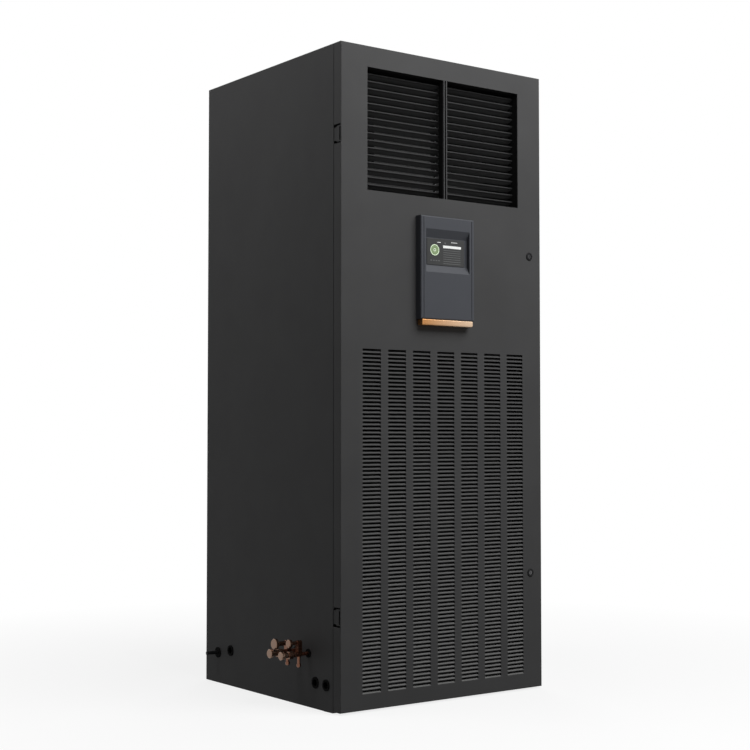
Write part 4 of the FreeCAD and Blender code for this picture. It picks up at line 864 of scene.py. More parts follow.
# After its name a finish lists its two shades, its roughness range, its relief and its pattern's scale
FINISHES: dict[str, Finish] = {
    "grey_paint": Grained(
        "grey_powder_coat", *CABINET_GREY, (0.58, 0.7), 0.00005, 850.0, specular=0.1
    ),
    # Painted light: the door's ledges that face up are painted paler, more so towards the floor
    "door_paint": PaintedLedgeLight(
        "door_powder_coat_painted_light", *CABINET_GREY, (0.58, 0.7), 0.00005, 850.0, specular=0.1
    ),
    "outlet_paint": Grained(
        "satin_grey_paint", (0.040, 0.040, 0.041), (0.046, 0.046, 0.047), (0.45, 0.55), 0.00002, 900.0,
        specular=0.15,
    ),
    # Painted light and shade: the blades are dark at their noses and pale towards their tails, for the shade
    # on the noses and the light under them
    "outlet_blade": Faded(
        "outlet_blade_painted_light_and_shade", (0.026, 0.026, 0.0265), (0.12, 0.12, 0.121), (0.5, 0.6), 0.00002, 900.0,
        specular=0.1, span=(-0.3195, -0.313), along=Axis.Y,
    ),
    # Painted shade: the frame's grey goes to near black on the faces behind the door's face
    "outlet_inside_painted_shade": Faded(
        "outlet_frame_painted_shade", (0.047, 0.047, 0.048), (0.008, 0.008, 0.008), (0.5, 0.6), 0.00002, 900.0,
        specular=0.1, span=(-0.342, -0.336), along=Axis.Y,
    ),
    "galvanised_steel": Spangled(
        "galvanised_sheet", (0.26, 0.267, 0.275), (0.40, 0.407, 0.415), (0.32, 0.5), 0.00003, 90.0,
        metallic=0.9,
    ),
    "lock_chrome": Drawn(
        "lock_metal", (0.055, 0.055, 0.057), (0.11, 0.11, 0.113), (0.2, 0.34), 0.00001, 1200.0,
        metallic=1.0,
    ),
    "display_plastic": Grained(
        "slate_moulding", (0.049, 0.052, 0.060), (0.054, 0.057, 0.065), (0.42, 0.52), 0.00002, 1500.0,
        specular=0.15,
    ),
    "screen_glass": Grained(
        "dark_screen", (0.034, 0.035, 0.035), (0.042, 0.043, 0.043), (0.2, 0.28), 0.000002, 300.0,
        specular=0.25,
    ),
    # Painted reflection: the trim's copper goes from deep at its left end to pale at its right, for the sheen
    # of the light on it
    "trim_copper": Faded(
        "copper_painted_reflection", (0.46, 0.215, 0.075), (0.66, 0.48, 0.33), (0.22, 0.34), 0.00001, 900.0,
        metallic=0.75, span=(-0.09, 0.07),
    ),
    "valve_brass": Faded(
        "valve_metal", (0.20, 0.13, 0.095), (0.15, 0.07, 0.045), (0.1, 0.3), 0.00003, 500.0,
        metallic=0.95, span=(-0.428, -0.392),
    ),
    "pipe_copper": Drawn(
        "drawn_copper", (0.16, 0.055, 0.035), (0.30, 0.11, 0.07), (0.16, 0.36), 0.00002, 500.0,
        metallic=1.0,
    ),
    "black_rubber": Grained(
        "black_rubber", (0.003, 0.003, 0.003), (0.005, 0.005, 0.005), (0.75, 0.9), 0.00006, 500.0,
        specular=0.03,
    ),
    "foam": Grained(
        "closed_foam", (0.014, 0.014, 0.014), (0.022, 0.022, 0.022), (0.85, 0.97), 0.00025, 700.0,
        specular=0.1,
    ),
    "black_plastic": Grained(
        "black_moulding", (0.006, 0.006, 0.0065), (0.01, 0.01, 0.0105), (0.4, 0.55), 0.00002, 900.0,
        specular=0.1,
    ),
    "aluminium_fin": Finned(
        "fin_pack", (0.16, 0.165, 0.17), (0.62, 0.63, 0.64), (0.35, 0.5), 0.0008, 80.0, metallic=0.9
    ),
    "filter_fibre": Fibrous(
        "filter_cloth", (0.026, 0.026, 0.026), (0.042, 0.042, 0.041), (0.88, 0.98), 0.0004, 900.0,
        specular=0.05,
    ),
    "compressor_black": Grained(
        "black_enamel", (0.012, 0.012, 0.014), (0.02, 0.02, 0.022), (0.22, 0.32), 0.00003, 300.0, coat=0.4
    ),
    "switchgear_plastic": Grained(
        "grey_moulding", (0.27, 0.28, 0.28), (0.33, 0.34, 0.34), (0.45, 0.6), 0.00002, 900.0
    ),
    "handle_red": Grained(
        "red_moulding", (0.36, 0.02, 0.016), (0.42, 0.026, 0.02), (0.28, 0.36), 0.00001, 900.0
    ),
    "mark_pale": Lit(
        "pale_mark", (0.40, 0.50, 0.33), (0.52, 0.62, 0.45), (0.3, 0.4), scale=1500.0, glow=0.55
    ),
    "mark_green": Lit(
        "green_mark", (0.10, 0.15, 0.065), (0.15, 0.21, 0.10), (0.3, 0.4), scale=1500.0, glow=0.5
    ),
    "mark_white": Lit(
        "white_mark", (0.50, 0.51, 0.50), (0.60, 0.61, 0.60), (0.3, 0.4), scale=1500.0, glow=0.45
    ),
    "mark_grey": Lit(
        "grey_mark", (0.055, 0.057, 0.058), (0.08, 0.082, 0.084), (0.3, 0.4), scale=1500.0, glow=0.3
    ),
}


class Finishes:
    """The materials, each built the first time that it is asked for."""

    def __init__(self) -> None:
        """Build the shared effects."""
        self._effects = Effects()
        self._made: dict[str, Material] = {}

    def get(self, key: str) -> Material:
        """Return a finish's material.

        Args:
            key: the finish's key, which for most is its slot.

        Returns:
            The material.
        """
        if key not in self._made:
            self._made[key] = FINISHES[key].build(self._effects)
        return self._made[key]


# The object's pieces


@dataclass
class DoorSkin:
    """Folded door sheet, with the return louvres lanced out of it and pushed inwards."""

    across: Span
    depth: Span
    height: Span
    sheet: float = 1.5 * MM
    fold: float = 2.0 * MM
    fold_facets: int = 4
    back_fold: float = 0.6 * MM
    back_fold_facets: int = 2
    lip: float = 20.0 * MM
    window_half: float = 265.0 * MM
    window: Span = (1366.0 * MM, 1694.0 * MM)
    display_hole: tuple[Span, Span] = DISPLAY_BOX
    columns: int = 7
    rows: int = 85
    column_pitch: float = 83.5 * MM
    row_pitch: float = 10.594 * MM
    grille_bottom: float = 45.9 * MM
    slot_width: float = 59.5 * MM
    mouth: float = 4.8 * MM
    land: float = 1.2 * MM
    # At each bend of a louvre: its share of the flap's height, and of how far the flap is pushed in
    scoop: tuple[Span, ...] = ((0.45, 0.18), (0.75, 0.5), (1.0, 1.0))
    sink: float = 7.0 * MM
    notch_heights: Span = (1508.0 * MM, 249.0 * MM)
    notch_half: float = 25.5 * MM
    notch_from_face: float = 2.5 * MM
    notch_reach: float = 21.5 * MM
    lock_x: float = 307.5 * MM
    lock_heights: Span = (1230.0 * MM, 329.0 * MM)
    lock_hole: float = 9.2 * MM
    lock_patch: float = 13.0 * MM
    lock_sides: int = 32

    @property
    def grille_half(self) -> float:
        """Half the width of the louvred field."""
        return self.columns * self.column_pitch / 2

    def _louvre(self) -> Piece:
        """Model one louvre with the strip of sheet round it.

        Returns:
            The cell at the lower left corner of the field.
        """
        left = -self.grille_half
        low = self.grille_bottom
        margin = (self.column_pitch - self.slot_width) / 2
        flap_top = self.row_pitch - self.mouth
        slot = (left + margin, left + margin + self.slot_width)
        right, high = left + self.column_pitch, low + self.row_pitch
        cell = add_sheet("louvre", (left, right), (low, high), self.depth[0])

        def in_slot(face: Face) -> bool:
            """Tell whether a face lies between the slot's ends."""
            return slot[0] < face.calc_center_median().x < slot[1]

        def flap(face: Face) -> bool:
            """Tell whether a face belongs to the part that is pushed in."""
            return in_slot(face) and self.land < face.calc_center_median().z - low < flap_top

        def mouth(face: Face) -> bool:
            """Tell whether a face lies in the opening above the flap."""
            return in_slot(face) and face.calc_center_median().z - low > flap_top

        with editing(cell):
            cut_across(cell, Axis.X, slot)
            cut_across(cell, Axis.Z, (low + self.land, low + flap_top), in_slot)
            pick(cell, Mesh.FACE, mouth)
            bpy.ops.mesh.delete(type="FACE")
            pick(cell, Mesh.FACE, flap)
            bpy.ops.mesh.split()
            rises = [low + self.land + share * (flap_top - self.land) for share, _ in self.scoop]
            cut_across(cell, Axis.Z, rises[:-1], flap)
            pick(cell, Mesh.FACE, flap)
            bpy.ops.mesh.hide(unselected=True)
            for rise, (_, back) in zip(rises, self.scoop):
                pick(cell, Mesh.VERT, lambda vert: not vert.hide and abs(vert.co.z - rise) < WELD)
                shift(y=back * self.sink)
            bpy.ops.mesh.reveal(select=False)
        weld(cell)
        return cell

    def _field(self) -> Piece:
        """Repeat the louvre over the field.

        Returns:
            The whole field.
        """
        cell = self._louvre()
        steps = ((self.columns, (self.column_pitch, 0, 0)), (self.rows, (0, 0, self.row_pitch)))
        for count, step in steps:
            add_modifier(
                cell, "ARRAY", count=count, use_relative_offset=False, use_constant_offset=True,
                constant_offset_displace=step, use_merge_vertices=True, merge_threshold=WELD,
            )
        return cell

    def _flat(self) -> Piece:
        """Cut the front sheet along its louvre, window and notch lines, and open its windows and holes.

        Returns:
            The flat sheet, open where the field, the outlet, the display and the locks go.
        """
        flat = add_sheet("door_skin", self.across, self.height, self.depth[0])
        half = self.grille_half
        columns = [-half + number * self.column_pitch for number in range(self.columns + 1)]
        edges = [x + side * self.slot_width / 2 for x in columns[:-1] for side in (-1, 1)]
        slots = [x + self.column_pitch / 2 for x in edges]
        rows = [self.grille_bottom + number * self.row_pitch for number in range(self.rows + 1)]
        notches = [z + side * self.notch_half for z in self.notch_heights for side in (-1, 1)]
        holes = (
            ((-half, half), (rows[0], rows[-1])),
            ((-self.window_half, self.window_half), self.window),
            self.display_hole,
        )

        def in_hole(face: Face) -> bool:
            """Tell whether a face lies in the field or a window."""
            middle = face.calc_center_median()
            return any(x[0] < middle.x < x[1] and z[0] < middle.z < z[1] for x, z in holes)

        def above_field(face: Face) -> bool:
            """Tell whether a face lies above the louvred field."""
            return face.calc_center_median().z > rows[-1]

        def above_rail(face: Face) -> bool:
            """Tell whether a face lies above the foot of the display's hole."""
            return face.calc_center_median().z > self.display_hole[1][0]

        with editing(flat):
            cut_across(flat, Axis.X, columns + slots)
            cut_across(flat, Axis.Z, rows)
            cut_across(flat, Axis.Z, (*self.window, *self.display_hole[1]), above_field)
            cut_across(flat, Axis.X, (-self.window_half, self.window_half, *self.display_hole[0]), above_rail)
            cut_across(flat, Axis.Z, notches, lambda face: face.calc_center_median().x < -half)
            pick(flat, Mesh.FACE, in_hole)
            bpy.ops.mesh.delete(type="FACE")
            for z in self.lock_heights:
                self._open_lock(flat, z)
        return flat

    def _open_lock(self, flat: Piece, height: float) -> None:
        """Cut a square out of the open sheet and close it again round a lock's hole.

        Args:
            flat: the flat sheet, in edit mode.
            height: the lock's height.
        """
        across = (self.lock_x - self.lock_patch, self.lock_x + self.lock_patch)
        rise = (height - self.lock_patch, height + self.lock_patch)

        def over(face: Face) -> bool:
            """Tell whether a face reaches into the square.

            Args:
                face: the face.

            Returns:
                True if any of it lies over the square.
            """
            for axis, (low, high) in ((Axis.X, across), (Axis.Z, rise)):
                places = [vert.co[axis.value] for vert in face.verts]
                if min(places) >= high - WELD or max(places) <= low + WELD:
                    return False
            return True

        def within(edge: Edge) -> bool:
            """Tell whether an edge lies in the square or on its rim."""
            reaches = [max(abs(vert.co.x - self.lock_x), abs(vert.co.z - height)) for vert in edge.verts]
            return max(reaches) < self.lock_patch + WELD

        cut_across(flat, Axis.X, across, over)
        cut_across(flat, Axis.Z, rise, over)
        pick(flat, Mesh.FACE, over)
        bpy.ops.mesh.delete(type="FACE")
        bpy.ops.mesh.primitive_circle_add(
            vertices=self.lock_sides, radius=self.lock_hole, location=(self.lock_x, self.depth[0], height),
            rotation=(math.pi / 2, 0, 0),
        )
        pick(flat, Mesh.EDGE, lambda edge: not edge.is_manifold and within(edge))
        bpy.ops.mesh.bridge_edge_loops()
        pick(flat, Mesh.FACE, lambda face: face.normal.y > 0)
        bpy.ops.mesh.flip_normals()

    def _fold_edges(self, skin: Piece) -> None:
        """Fold the sheet's returns back and its lips inwards, notch it for the hinges and round the folds.

        Args:
            skin: the flat sheet with its louvres.
        """
        front, back = self.depth
        size = (self.across[1] - self.across[0], self.height[1] - self.height[0])
        middle = (sum(self.across) / 2, back, sum(self.height) / 2)

        def at_rim(vert: Vert) -> bool:
            """Tell whether a point lies on the sheet's outer limits."""
            gaps = [abs(vert.co.x - x) for x in self.across] + [abs(vert.co.z - z) for z in self.height]
            return min(gaps) < WELD

        def along_rim(edge: Edge, y: float) -> bool:
            """Tell whether an edge runs along the outer limits at a depth.

            Args:
                edge: the edge.
                y: the depth.

            Returns:
                True if both ends lie there and it turns no corner.
            """
            first, second = edge.verts
            if any(abs(vert.co.y - y) > WELD or not at_rim(vert) for vert in edge.verts):
                return False
            return abs(first.co.x - second.co.x) < WELD or abs(first.co.z - second.co.z) < WELD

        def notch(face: Face) -> bool:
            """Tell whether a face is cut away for a hinge.

            Args:
                face: the face.

            Returns:
                True if it lies in a notch.
            """
            spot = face.calc_center_median()
            near = any(abs(spot.z - z) < self.notch_half for z in self.notch_heights)
            behind = spot.y > front + self.notch_from_face
            return near and behind and spot.x < self.across[0] + self.notch_reach

        with editing(skin):
            pick(skin, Mesh.EDGE, lambda edge: edge.is_boundary and along_rim(edge, front))
            extrude(y=self.notch_from_face)
            extrude(y=back - front - self.notch_from_face)
            extrude()
            bpy.ops.transform.resize(
                value=(1 - 2 * self.lip / size[0], 1, 1 - 2 * self.lip / size[1]), center_override=middle
            )
            pick(skin, Mesh.FACE, notch)
            bpy.ops.mesh.delete(type="FACE")
            pick(skin, Mesh.EDGE, lambda edge: len(edge.link_faces) == 2 and along_rim(edge, front))
            bpy.ops.mesh.bevel(offset=self.fold, segments=self.fold_facets, affect="EDGES")
            pick(skin, Mesh.EDGE, lambda edge: len(edge.link_faces) == 2 and along_rim(edge, back))
            bpy.ops.mesh.bevel(offset=self.back_fold, segments=self.back_fold_facets, affect="EDGES")

    def build(self) -> Piece:
        """Model the whole sheet.

        Returns:
            The door's skin.
        """
        skin = joined([self._flat(), self._field()], "door_skin")
        weld(skin)
        self._fold_edges(skin)
        add_modifier(skin, "SOLIDIFY", thickness=self.sheet, offset=-1.0, use_even_offset=True)
        smooth(skin)
        return skin

    def dress(self, finishes: Finishes) -> None:
        """Model the sheet, paint it and set it on the door.

        Args:
            finishes: the materials.
        """
        solids = ("door_panel", "return_grille", "grille_louvres")
        hand_over(self.build(), "door", "grey_paint", finishes.get("door_paint"), *solids)


@dataclass(frozen=True)
class Bar:
    """A flat mark, in millimetres from the lower left corner of the screen."""

    left: float
    low: float
    width: float
    height: float

    def moved(self, right: float = 0.0, up: float = 0.0) -> "Bar":
        """Return the same mark in another place."""
        return Bar(self.left + right, self.low + up, self.width, self.height)


@dataclass
class Display:
    """Moulded housing on the door, its recessed screen and the plain page that the screen shows."""

    across: Span
    front: float
    door: float
    height: Span
    screen: Limits
    box: tuple[Span, Span] = DISPLAY_BOX
    box_back: float = -325.5 * MM
    box_overlap: float = 1.0 * MM
    rim: float = 9.0 * MM
    groove: float = 1.3 * MM
    groove_depth: float = 2.2 * MM
    recess: tuple[Span, Span] = ((-86.0 * MM, 66.0 * MM), (1160.0 * MM, 1277.0 * MM))
    recess_depth: float = 12.0 * MM
    low_slope: float = 20.0 * MM
    high_slope: float = 22.0 * MM
    corner: float = 4.0 * MM
    corner_facets: int = 5
    lip: float = 0.8 * MM
    lip_facets: int = 2
    lip_angle: float = 25.0
    glass_edge: float = 0.3 * MM
    mark_depth: Span = (-0.15 * MM, 0.3 * MM)
    mark_edge: float = 0.1 * MM
    mark_facets: int = 1
    header: Bar = Bar(56.0, 48.0, 63.0, 7.0)
    clock: Bar = Bar(84.0, 64.0, 22.0, 1.4)
    state: Bar = Bar(36.0, 61.5, 12.0, 1.6)
    lamp: Bar = Bar(61.0, 59.5, 4.0, 4.0)
    row: Bar = Bar(57.0, 5.0, 60.0, 1.4)
    row_pitch: float = 6.0
    row_count: int = 7
    value: Bar = Bar(12.0, 11.0, 5.0, 2.4)
    value_pitch: float = 9.0
    value_count: int = 4
    sign: Span = (27.0 * MM, 41.0 * MM)
    sign_proud: float = 0.05 * MM
    sign_thickness: float = 0.3 * MM
    sign_rim: Span = (15.2 * MM, 13.0 * MM)
    sign_hub: Span = (4.6 * MM, 2.4 * MM)
    sign_face: Span = (12.2 * MM, 5.4 * MM)

    @classmethod
    def from_frame(cls) -> "Display":
        """Take the sizes of the housing, the screen and the door's face from the frame.

        Returns:
            The display.
        """
        across, depth, height = limits("display_housing")
        door_face = limits("door_panel")[1][0]
        return cls(across, depth[0], door_face, height, limits("display_screen"))

    def housing(self) -> Piece:
        """Model the housing with its grooves, its recess and the box behind it.

        Returns:
            The housing.
        """
        left, right = self.across
        grooves = (
            (left + self.rim, left + self.rim + self.groove),
            (right - self.rim - self.groove, right - self.rim),
        )
        recess_x, recess_z = self.recess
        shell = add_box("display_case", self.across, (self.front, self.door), self.height)

        def at_front(face: Face) -> bool:
            """Tell whether a face lies in the housing's front."""
            return abs(face.calc_center_median().y - self.front) < WELD

        def in_recess(face: Face) -> bool:
            """Tell whether a front face lies in the screen's recess.

            Args:
                face: the face.

            Returns:
                True if it does.
            """
            spot = face.calc_center_median()
            inside = recess_x[0] < spot.x < recess_x[1] and recess_z[0] < spot.z < recess_z[1]
            return inside and at_front(face)

        def in_groove(face: Face) -> bool:
            """Tell whether a front face lies in one of the two grooves."""
            return at_front(face) and any(low < face.calc_center_median().x < high for low, high in grooves)

        def at_rim(edge: Edge) -> bool:
            """Tell whether an edge runs round the front.

            Args:
                edge: the edge.

            Returns:
                True if it does.
            """
            middle = (edge.verts[0].co + edge.verts[1].co) / 2
            sides = [abs(middle.x - x) for x in self.across] + [abs(middle.z - z) for z in self.height]
            return abs(middle.y - self.front) < WELD and min(sides) < WELD

        with editing(shell):
            pick(shell, Mesh.EDGE, at_rim)
            bpy.ops.mesh.bevel(offset=self.corner, segments=self.corner_facets, affect="EDGES")
            cut_across(shell, Axis.X, [x for groove in grooves for x in groove])
            cut_across(shell, Axis.X, recess_x, at_front)
            cut_across(shell, Axis.Z, recess_z, at_front)
            pick(shell, Mesh.FACE, in_groove)
            extrude(y=self.groove_depth)
            pick(shell, Mesh.FACE, in_recess)
            extrude(y=self.recess_depth)
            floor = self.front + self.recess_depth
            for z, rise in ((recess_z[0], self.low_slope), (recess_z[1], -self.high_slope)):
                pick(
                    shell, Mesh.VERT,
                    lambda vert: abs(vert.co.y - floor) < WELD and abs(vert.co.z - z) < WELD,
                )
                shift(z=rise)
        rear = add_box("display_box", self.box[0], (self.door - self.box_overlap, self.box_back), self.box[1])
        round_edges(rear, self.lip)
        round_edges(shell, self.lip, self.lip_facets, self.lip_angle)
        return joined([shell, rear], "display_case")

    def glass(self) -> Piece:
        """Model the screen as a plate with rounded edges.

        Returns:
            The plate.
        """
        plate = add_box("screen", *self.screen)
        round_edges(plate, self.glass_edge)
        return plate

    def _bar(self, name: str, bar: Bar) -> Piece:
        """Model one flat mark on the screen.

        Args:
            name: the mark's name.
            bar: its place and size.

        Returns:
            The mark.
        """
        x = self.screen[0][0] + bar.left * MM
        y = self.screen[1][0]
        z = self.screen[2][0] + bar.low * MM
        depth = (y + self.mark_depth[0], y + self.mark_depth[1])
        mark = add_box(name, (x, x + bar.width * MM), depth, (z, z + bar.height * MM))
        round_edges(mark, self.mark_edge, self.mark_facets)
        return mark

    def _ring(self, name: str, radii: Span) -> Piece:
        """Model a flat ring of the running sign on the screen.

        Args:
            name: the mark's name.
            radii: its outer and its inner radius.

        Returns:
            The mark.
        """
        outer, inner = radii
        left, front, low = [span[0] for span in self.screen]
        middle = Vector((left + self.sign[0], front - self.sign_proud, low + self.sign[1]))
        ring = add_rod(name, middle, outer, self.sign_thickness, Axis.Y)
        with editing(ring):
            pick(ring, Mesh.FACE, lambda face: abs(face.normal.y) > FACING)
            bpy.ops.mesh.inset(thickness=outer - inner)
            bpy.ops.mesh.bridge_edge_loops()
        return ring

    def marks(self) -> dict[str, list[Piece]]:
        """Model the plain page that the screen shows: a round running sign, a header and rows.

        Returns:
            The marks by their finish.
        """
        rows = [
            self._bar(f"row_{number}", self.row.moved(up=number * self.row_pitch))
            for number in range(self.row_count)
        ]
        values = [
            self._bar(f"value_{number}", self.value.moved(right=number * self.value_pitch))
            for number in range(self.value_count)
        ]
        header = self._bar("header", self.header)
        clock = self._bar("status_clock", self.clock)
        state = self._bar("status_left", self.state)
        lamp = self._bar("status_mark", self.lamp)
        rim = self._ring("sign_rim", self.sign_rim)
        hub = self._ring("sign_hub", self.sign_hub)
        face = self._ring("sign_face", self.sign_face)
        return {
            "mark_white": [header, clock, state],
            "mark_pale": [rim, hub],
            "mark_green": [face],
            "mark_grey": rows + values + [lamp],
        }

    def dress(self, finishes: Finishes) -> None:
        """Model the display, dress it and set it on the door.

        Args:
            finishes: the materials.
        """
        plastic, glass = finishes.get("display_plastic"), finishes.get("screen_glass")
        hand_over(self.housing(), "door", "display_plastic", plastic, "display_housing")
        hand_over(self.glass(), "door", "screen_glass", glass, "display_screen")
        for key, marks in self.marks().items():
            hand_over(joined(marks, f"screen_{key}"), "door", "screen_glass", finishes.get(key))


@dataclass
class Switchgear:
    """What stands in the electrical box: two rails, contactors, terminals and the main switch's body."""

    rail_half: float = 276.0 * MM
    rail_depth: Span = (-209.0 * MM, -201.5 * MM)
    rail_height: float = 35.0 * MM
    rail_channel: float = 12.0 * MM
    rail_sink: float = 5.0 * MM
    rail_edge: float = 0.4 * MM
    terminal_row: float = 1065.1 * MM
    contactor_row: float = 1244.9 * MM
    first_left: float = -262.0 * MM
    contactor: Size = (45.0 * MM, 50.0 * MM, 85.0 * MM)
    contactor_step: float = 59.0 * MM
    contactor_count: int = 5
    terminal: Size = (12.0 * MM, 40.0 * MM, 60.0 * MM)
    terminal_step: float = 12.2 * MM
    terminal_count: int = 20
    switch: Size = (60.0 * MM, 44.0 * MM, 70.0 * MM)
    switch_x: float = 230.0 * MM
    switch_rim: float = 4.0 * MM
    switch_sink: float = 1.2 * MM
    switch_edge: float = 0.8 * MM
    shoulder: float = 12.0 * MM
    shoulder_share: float = 0.27
    label_share: float = 0.2
    label_sink: float = 1.5 * MM
    well: float = 6.0 * MM
    well_pitch: float = 15.0 * MM
    well_wall: float = 2.5 * MM
    edge: float = 0.5 * MM

    def _body(self, name: str, left: float, size: Size, row: float) -> Piece:
        """Model a clip-on body with a raised middle and a row of screw wells above and below it.

        Args:
            name: the piece's name.
            left: its left side.
            size: its width, depth and height.
            row: the height of its rail.

        Returns:
            The body.
        """
        width, depth, height = size
        front = self.rail_depth[0] - depth
        low, high = row - height / 2, row + height / 2
        body = add_box(name, (left, left + width), (front + self.shoulder, self.rail_depth[0]), (low, high))
        band = (low + self.shoulder_share * height, high - self.shoulder_share * height)
        wells = max(1, round(width / self.well_pitch))
        walls = [left + width * (number + 1) / wells for number in range(wells - 1)]

        def at_shoulder(face: Face) -> bool:
            """Tell whether a face lies at the shoulders' depth."""
            return abs(face.calc_center_median().y - front - self.shoulder) < WELD

        def in_band(face: Face) -> bool:
            """Tell whether a face is the foot of the raised middle."""
            return at_shoulder(face) and band[0] < face.calc_center_median().z < band[1]

        with editing(body):
            cut_across(body, Axis.Z, band)
            pick(body, Mesh.FACE, in_band)
            extrude(y=-self.shoulder)
            bpy.ops.mesh.inset(thickness=self.label_share * width)
            extrude(y=self.label_sink)
            cut_across(body, Axis.X, walls, at_shoulder)
            pick(body, Mesh.FACE, at_shoulder)
            bpy.ops.mesh.inset(thickness=self.well_wall, use_individual=True)
            extrude(y=self.well)
        round_edges(body, self.edge)
        return body

    def _row(self, name: str, first: Piece, count: int, step: float) -> Piece:
        """Copy a body along its rail.

        Args:
            name: the row's name.
            first: the body at the left end.
            count: how many stand in the row.
            step: the distance between them.

        Returns:
            The row as one object.
        """
        twins = [
            copied(first, f"{name}_{number}", Vector((number * step, 0, 0))) for number in range(1, count)
        ]
        return joined([first, *twins], name)

    def rails(self) -> Piece:
        """Model the two hat-shaped rails.

        Returns:
            The rails as one object.
        """
        rails = []
        for row in (self.terminal_row, self.contactor_row):
            across = (-self.rail_half, self.rail_half)
            height = (row - self.rail_height / 2, row + self.rail_height / 2)
            rail = add_box("rail", across, self.rail_depth, height)
            with editing(rail):
                cut_across(rail, Axis.Z, (row - self.rail_channel, row + self.rail_channel))
                pick(
                    rail, Mesh.FACE,
                    lambda face: face.normal.y < -FACING
                    and abs(face.calc_center_median().z - row) < self.rail_channel,
                )
                extrude(y=self.rail_sink)
            round_edges(rail, self.rail_edge)
            rails.append(rail)
        return joined(rails, "mounting_rails")

    def contactors(self) -> Piece:
        """Model the row of contactors."""
        first = self._body("contactor", self.first_left, self.contactor, self.contactor_row)
        return self._row("contactors", first, self.contactor_count, self.contactor_step)

    def terminals(self) -> Piece:
        """Model the row of terminals."""
        first = self._body("terminal", self.first_left, self.terminal, self.terminal_row)
        return self._row("terminals", first, self.terminal_count, self.terminal_step)

    def switch_body(self) -> Piece:
        """Model the main switch's body behind its handle.

        Returns:
            The body.
        """
        width, depth, height = self.switch
        front = self.rail_depth[0] - depth
        across = (self.switch_x - width / 2, self.switch_x + width / 2)
        rise = (self.contactor_row - height / 2, self.contactor_row + height / 2)
        body = add_box("switch_body", across, (front, self.rail_depth[0]), rise)
        with editing(body):
            pick(body, Mesh.FACE, lambda face: face.normal.y < -FACING)
            bpy.ops.mesh.inset(thickness=self.switch_rim)
            extrude(y=self.switch_sink)
        round_edges(body, self.switch_edge)
        return body

    def dress(self, finishes: Finishes) -> None:
        """Model the switchgear, dress it and set it in the cabinet.

        Args:
            finishes: the materials.
        """
        grey, black = finishes.get("switchgear_plastic"), finishes.get("black_plastic")
        hand_over(self.contactors(), "cabinet", "switchgear_plastic", grey, "switchgear")
        hand_over(self.terminals(), "cabinet", "switchgear_plastic", grey)
        hand_over(self.switch_body(), "cabinet", "black_plastic", black)
        hand_over(self.rails(), "cabinet", "galvanised_steel", finishes.get("galvanised_steel"))


@dataclass
class RearSheet:
    """Rear panel with its screws sunk into it.

    The rim of a screw's socket is a share of the head's radius, and its depth one of the head's.
    """

    half: float = 330.0 * MM
    heights: tuple[float, ...] = (60.0 * MM, 470.0 * MM, 880.0 * MM, 1290.0 * MM, 1700.0 * MM)
    face: float = 345.0 * MM
    edge: float = 0.5 * MM
    head: float = 5.0 * MM
    head_sides: int = 24
    head_edge: float = 0.25 * MM
    room: float = 0.4 * MM
    sink: float = 0.9 * MM
    below: float = 0.1 * MM
    socket_rim: float = 0.45
    socket_depth: float = 0.6

    def spots(self) -> list[Vector]:
        """List where the screws are."""
        return [Vector((x, self.face, z)) for x in (-self.half, self.half) for z in self.heights]

    def drill(self, panel: Piece) -> None:
        """Sink the screws' seats into the panel.

        Args:
            panel: the panel's object.
        """
        radius = self.head + self.room
        drills = [add_rod("drill", spot, radius, 2 * self.sink, Axis.Y) for spot in self.spots()]
        cutter = joined(drills, "drills")
        add_modifier(panel, "BOOLEAN", operation="DIFFERENCE", solver="EXACT", object=cutter)
        bpy.data.objects.remove(cutter)
        smooth(panel)

    def screws(self) -> Piece:
        """Model one screw and copy it to every seat.

        Returns:
            The screws as one object.
        """
        first, *rest = self.spots()
        depth = self.sink - self.below
        middle = first - Vector((0, self.sink - depth / 2, 0))
        screw = add_rod("screw", middle, self.head, depth, Axis.Y, self.head_sides)
        with editing(screw):
            pick(screw, Mesh.FACE, lambda face: face.normal.y > FACING)
            bpy.ops.mesh.inset(thickness=self.socket_rim * self.head)
            extrude(y=-self.socket_depth * depth)
        round_edges(screw, self.head_edge)
        twins = [copied(screw, f"screw_{number}", spot - first) for number, spot in enumerate(rest)]
        return joined([screw, *twins], "rear_screws")

    def dress(self, solid: Piece, finishes: Finishes) -> None:
        """Model the panel and its screws, dress them and set them on the cabinet.

        Args:
            solid: the rear panel's solid.
            finishes: the materials.
        """
        panel = softened(solid, "rear_sheet", self.edge)
        self.drill(panel)
        hand_over(panel, "cabinet", "grey_paint", finishes.get("grey_paint"), "rear_panel")
        hand_over(self.screws(), "cabinet", "black_plastic", finishes.get("black_plastic"))


@dataclass(frozen=True)
class Lamp:
    """A soft box: where it hangs, what it points at, its width and height, and its power in watts."""

    name: str
    place: Size
    target: Size
    size: Span
    watts: float

    def hang(self) -> None:
        """Add the lamp to the scene."""
        light = bpy.data.lights.new(self.name, "AREA")
        light.shape = "RECTANGLE"
        light.size, light.size_y = self.size
        light.energy = self.watts
        lamp = bpy.data.objects.new(self.name, light)
        lamp.location = self.place
        aim = Vector(self.target) - Vector(self.place)
        lamp.rotation_euler = aim.to_track_quat("-Z", "Y").to_euler()
        lamp.visible_camera = False
        bpy.context.collection.objects.link(lamp)


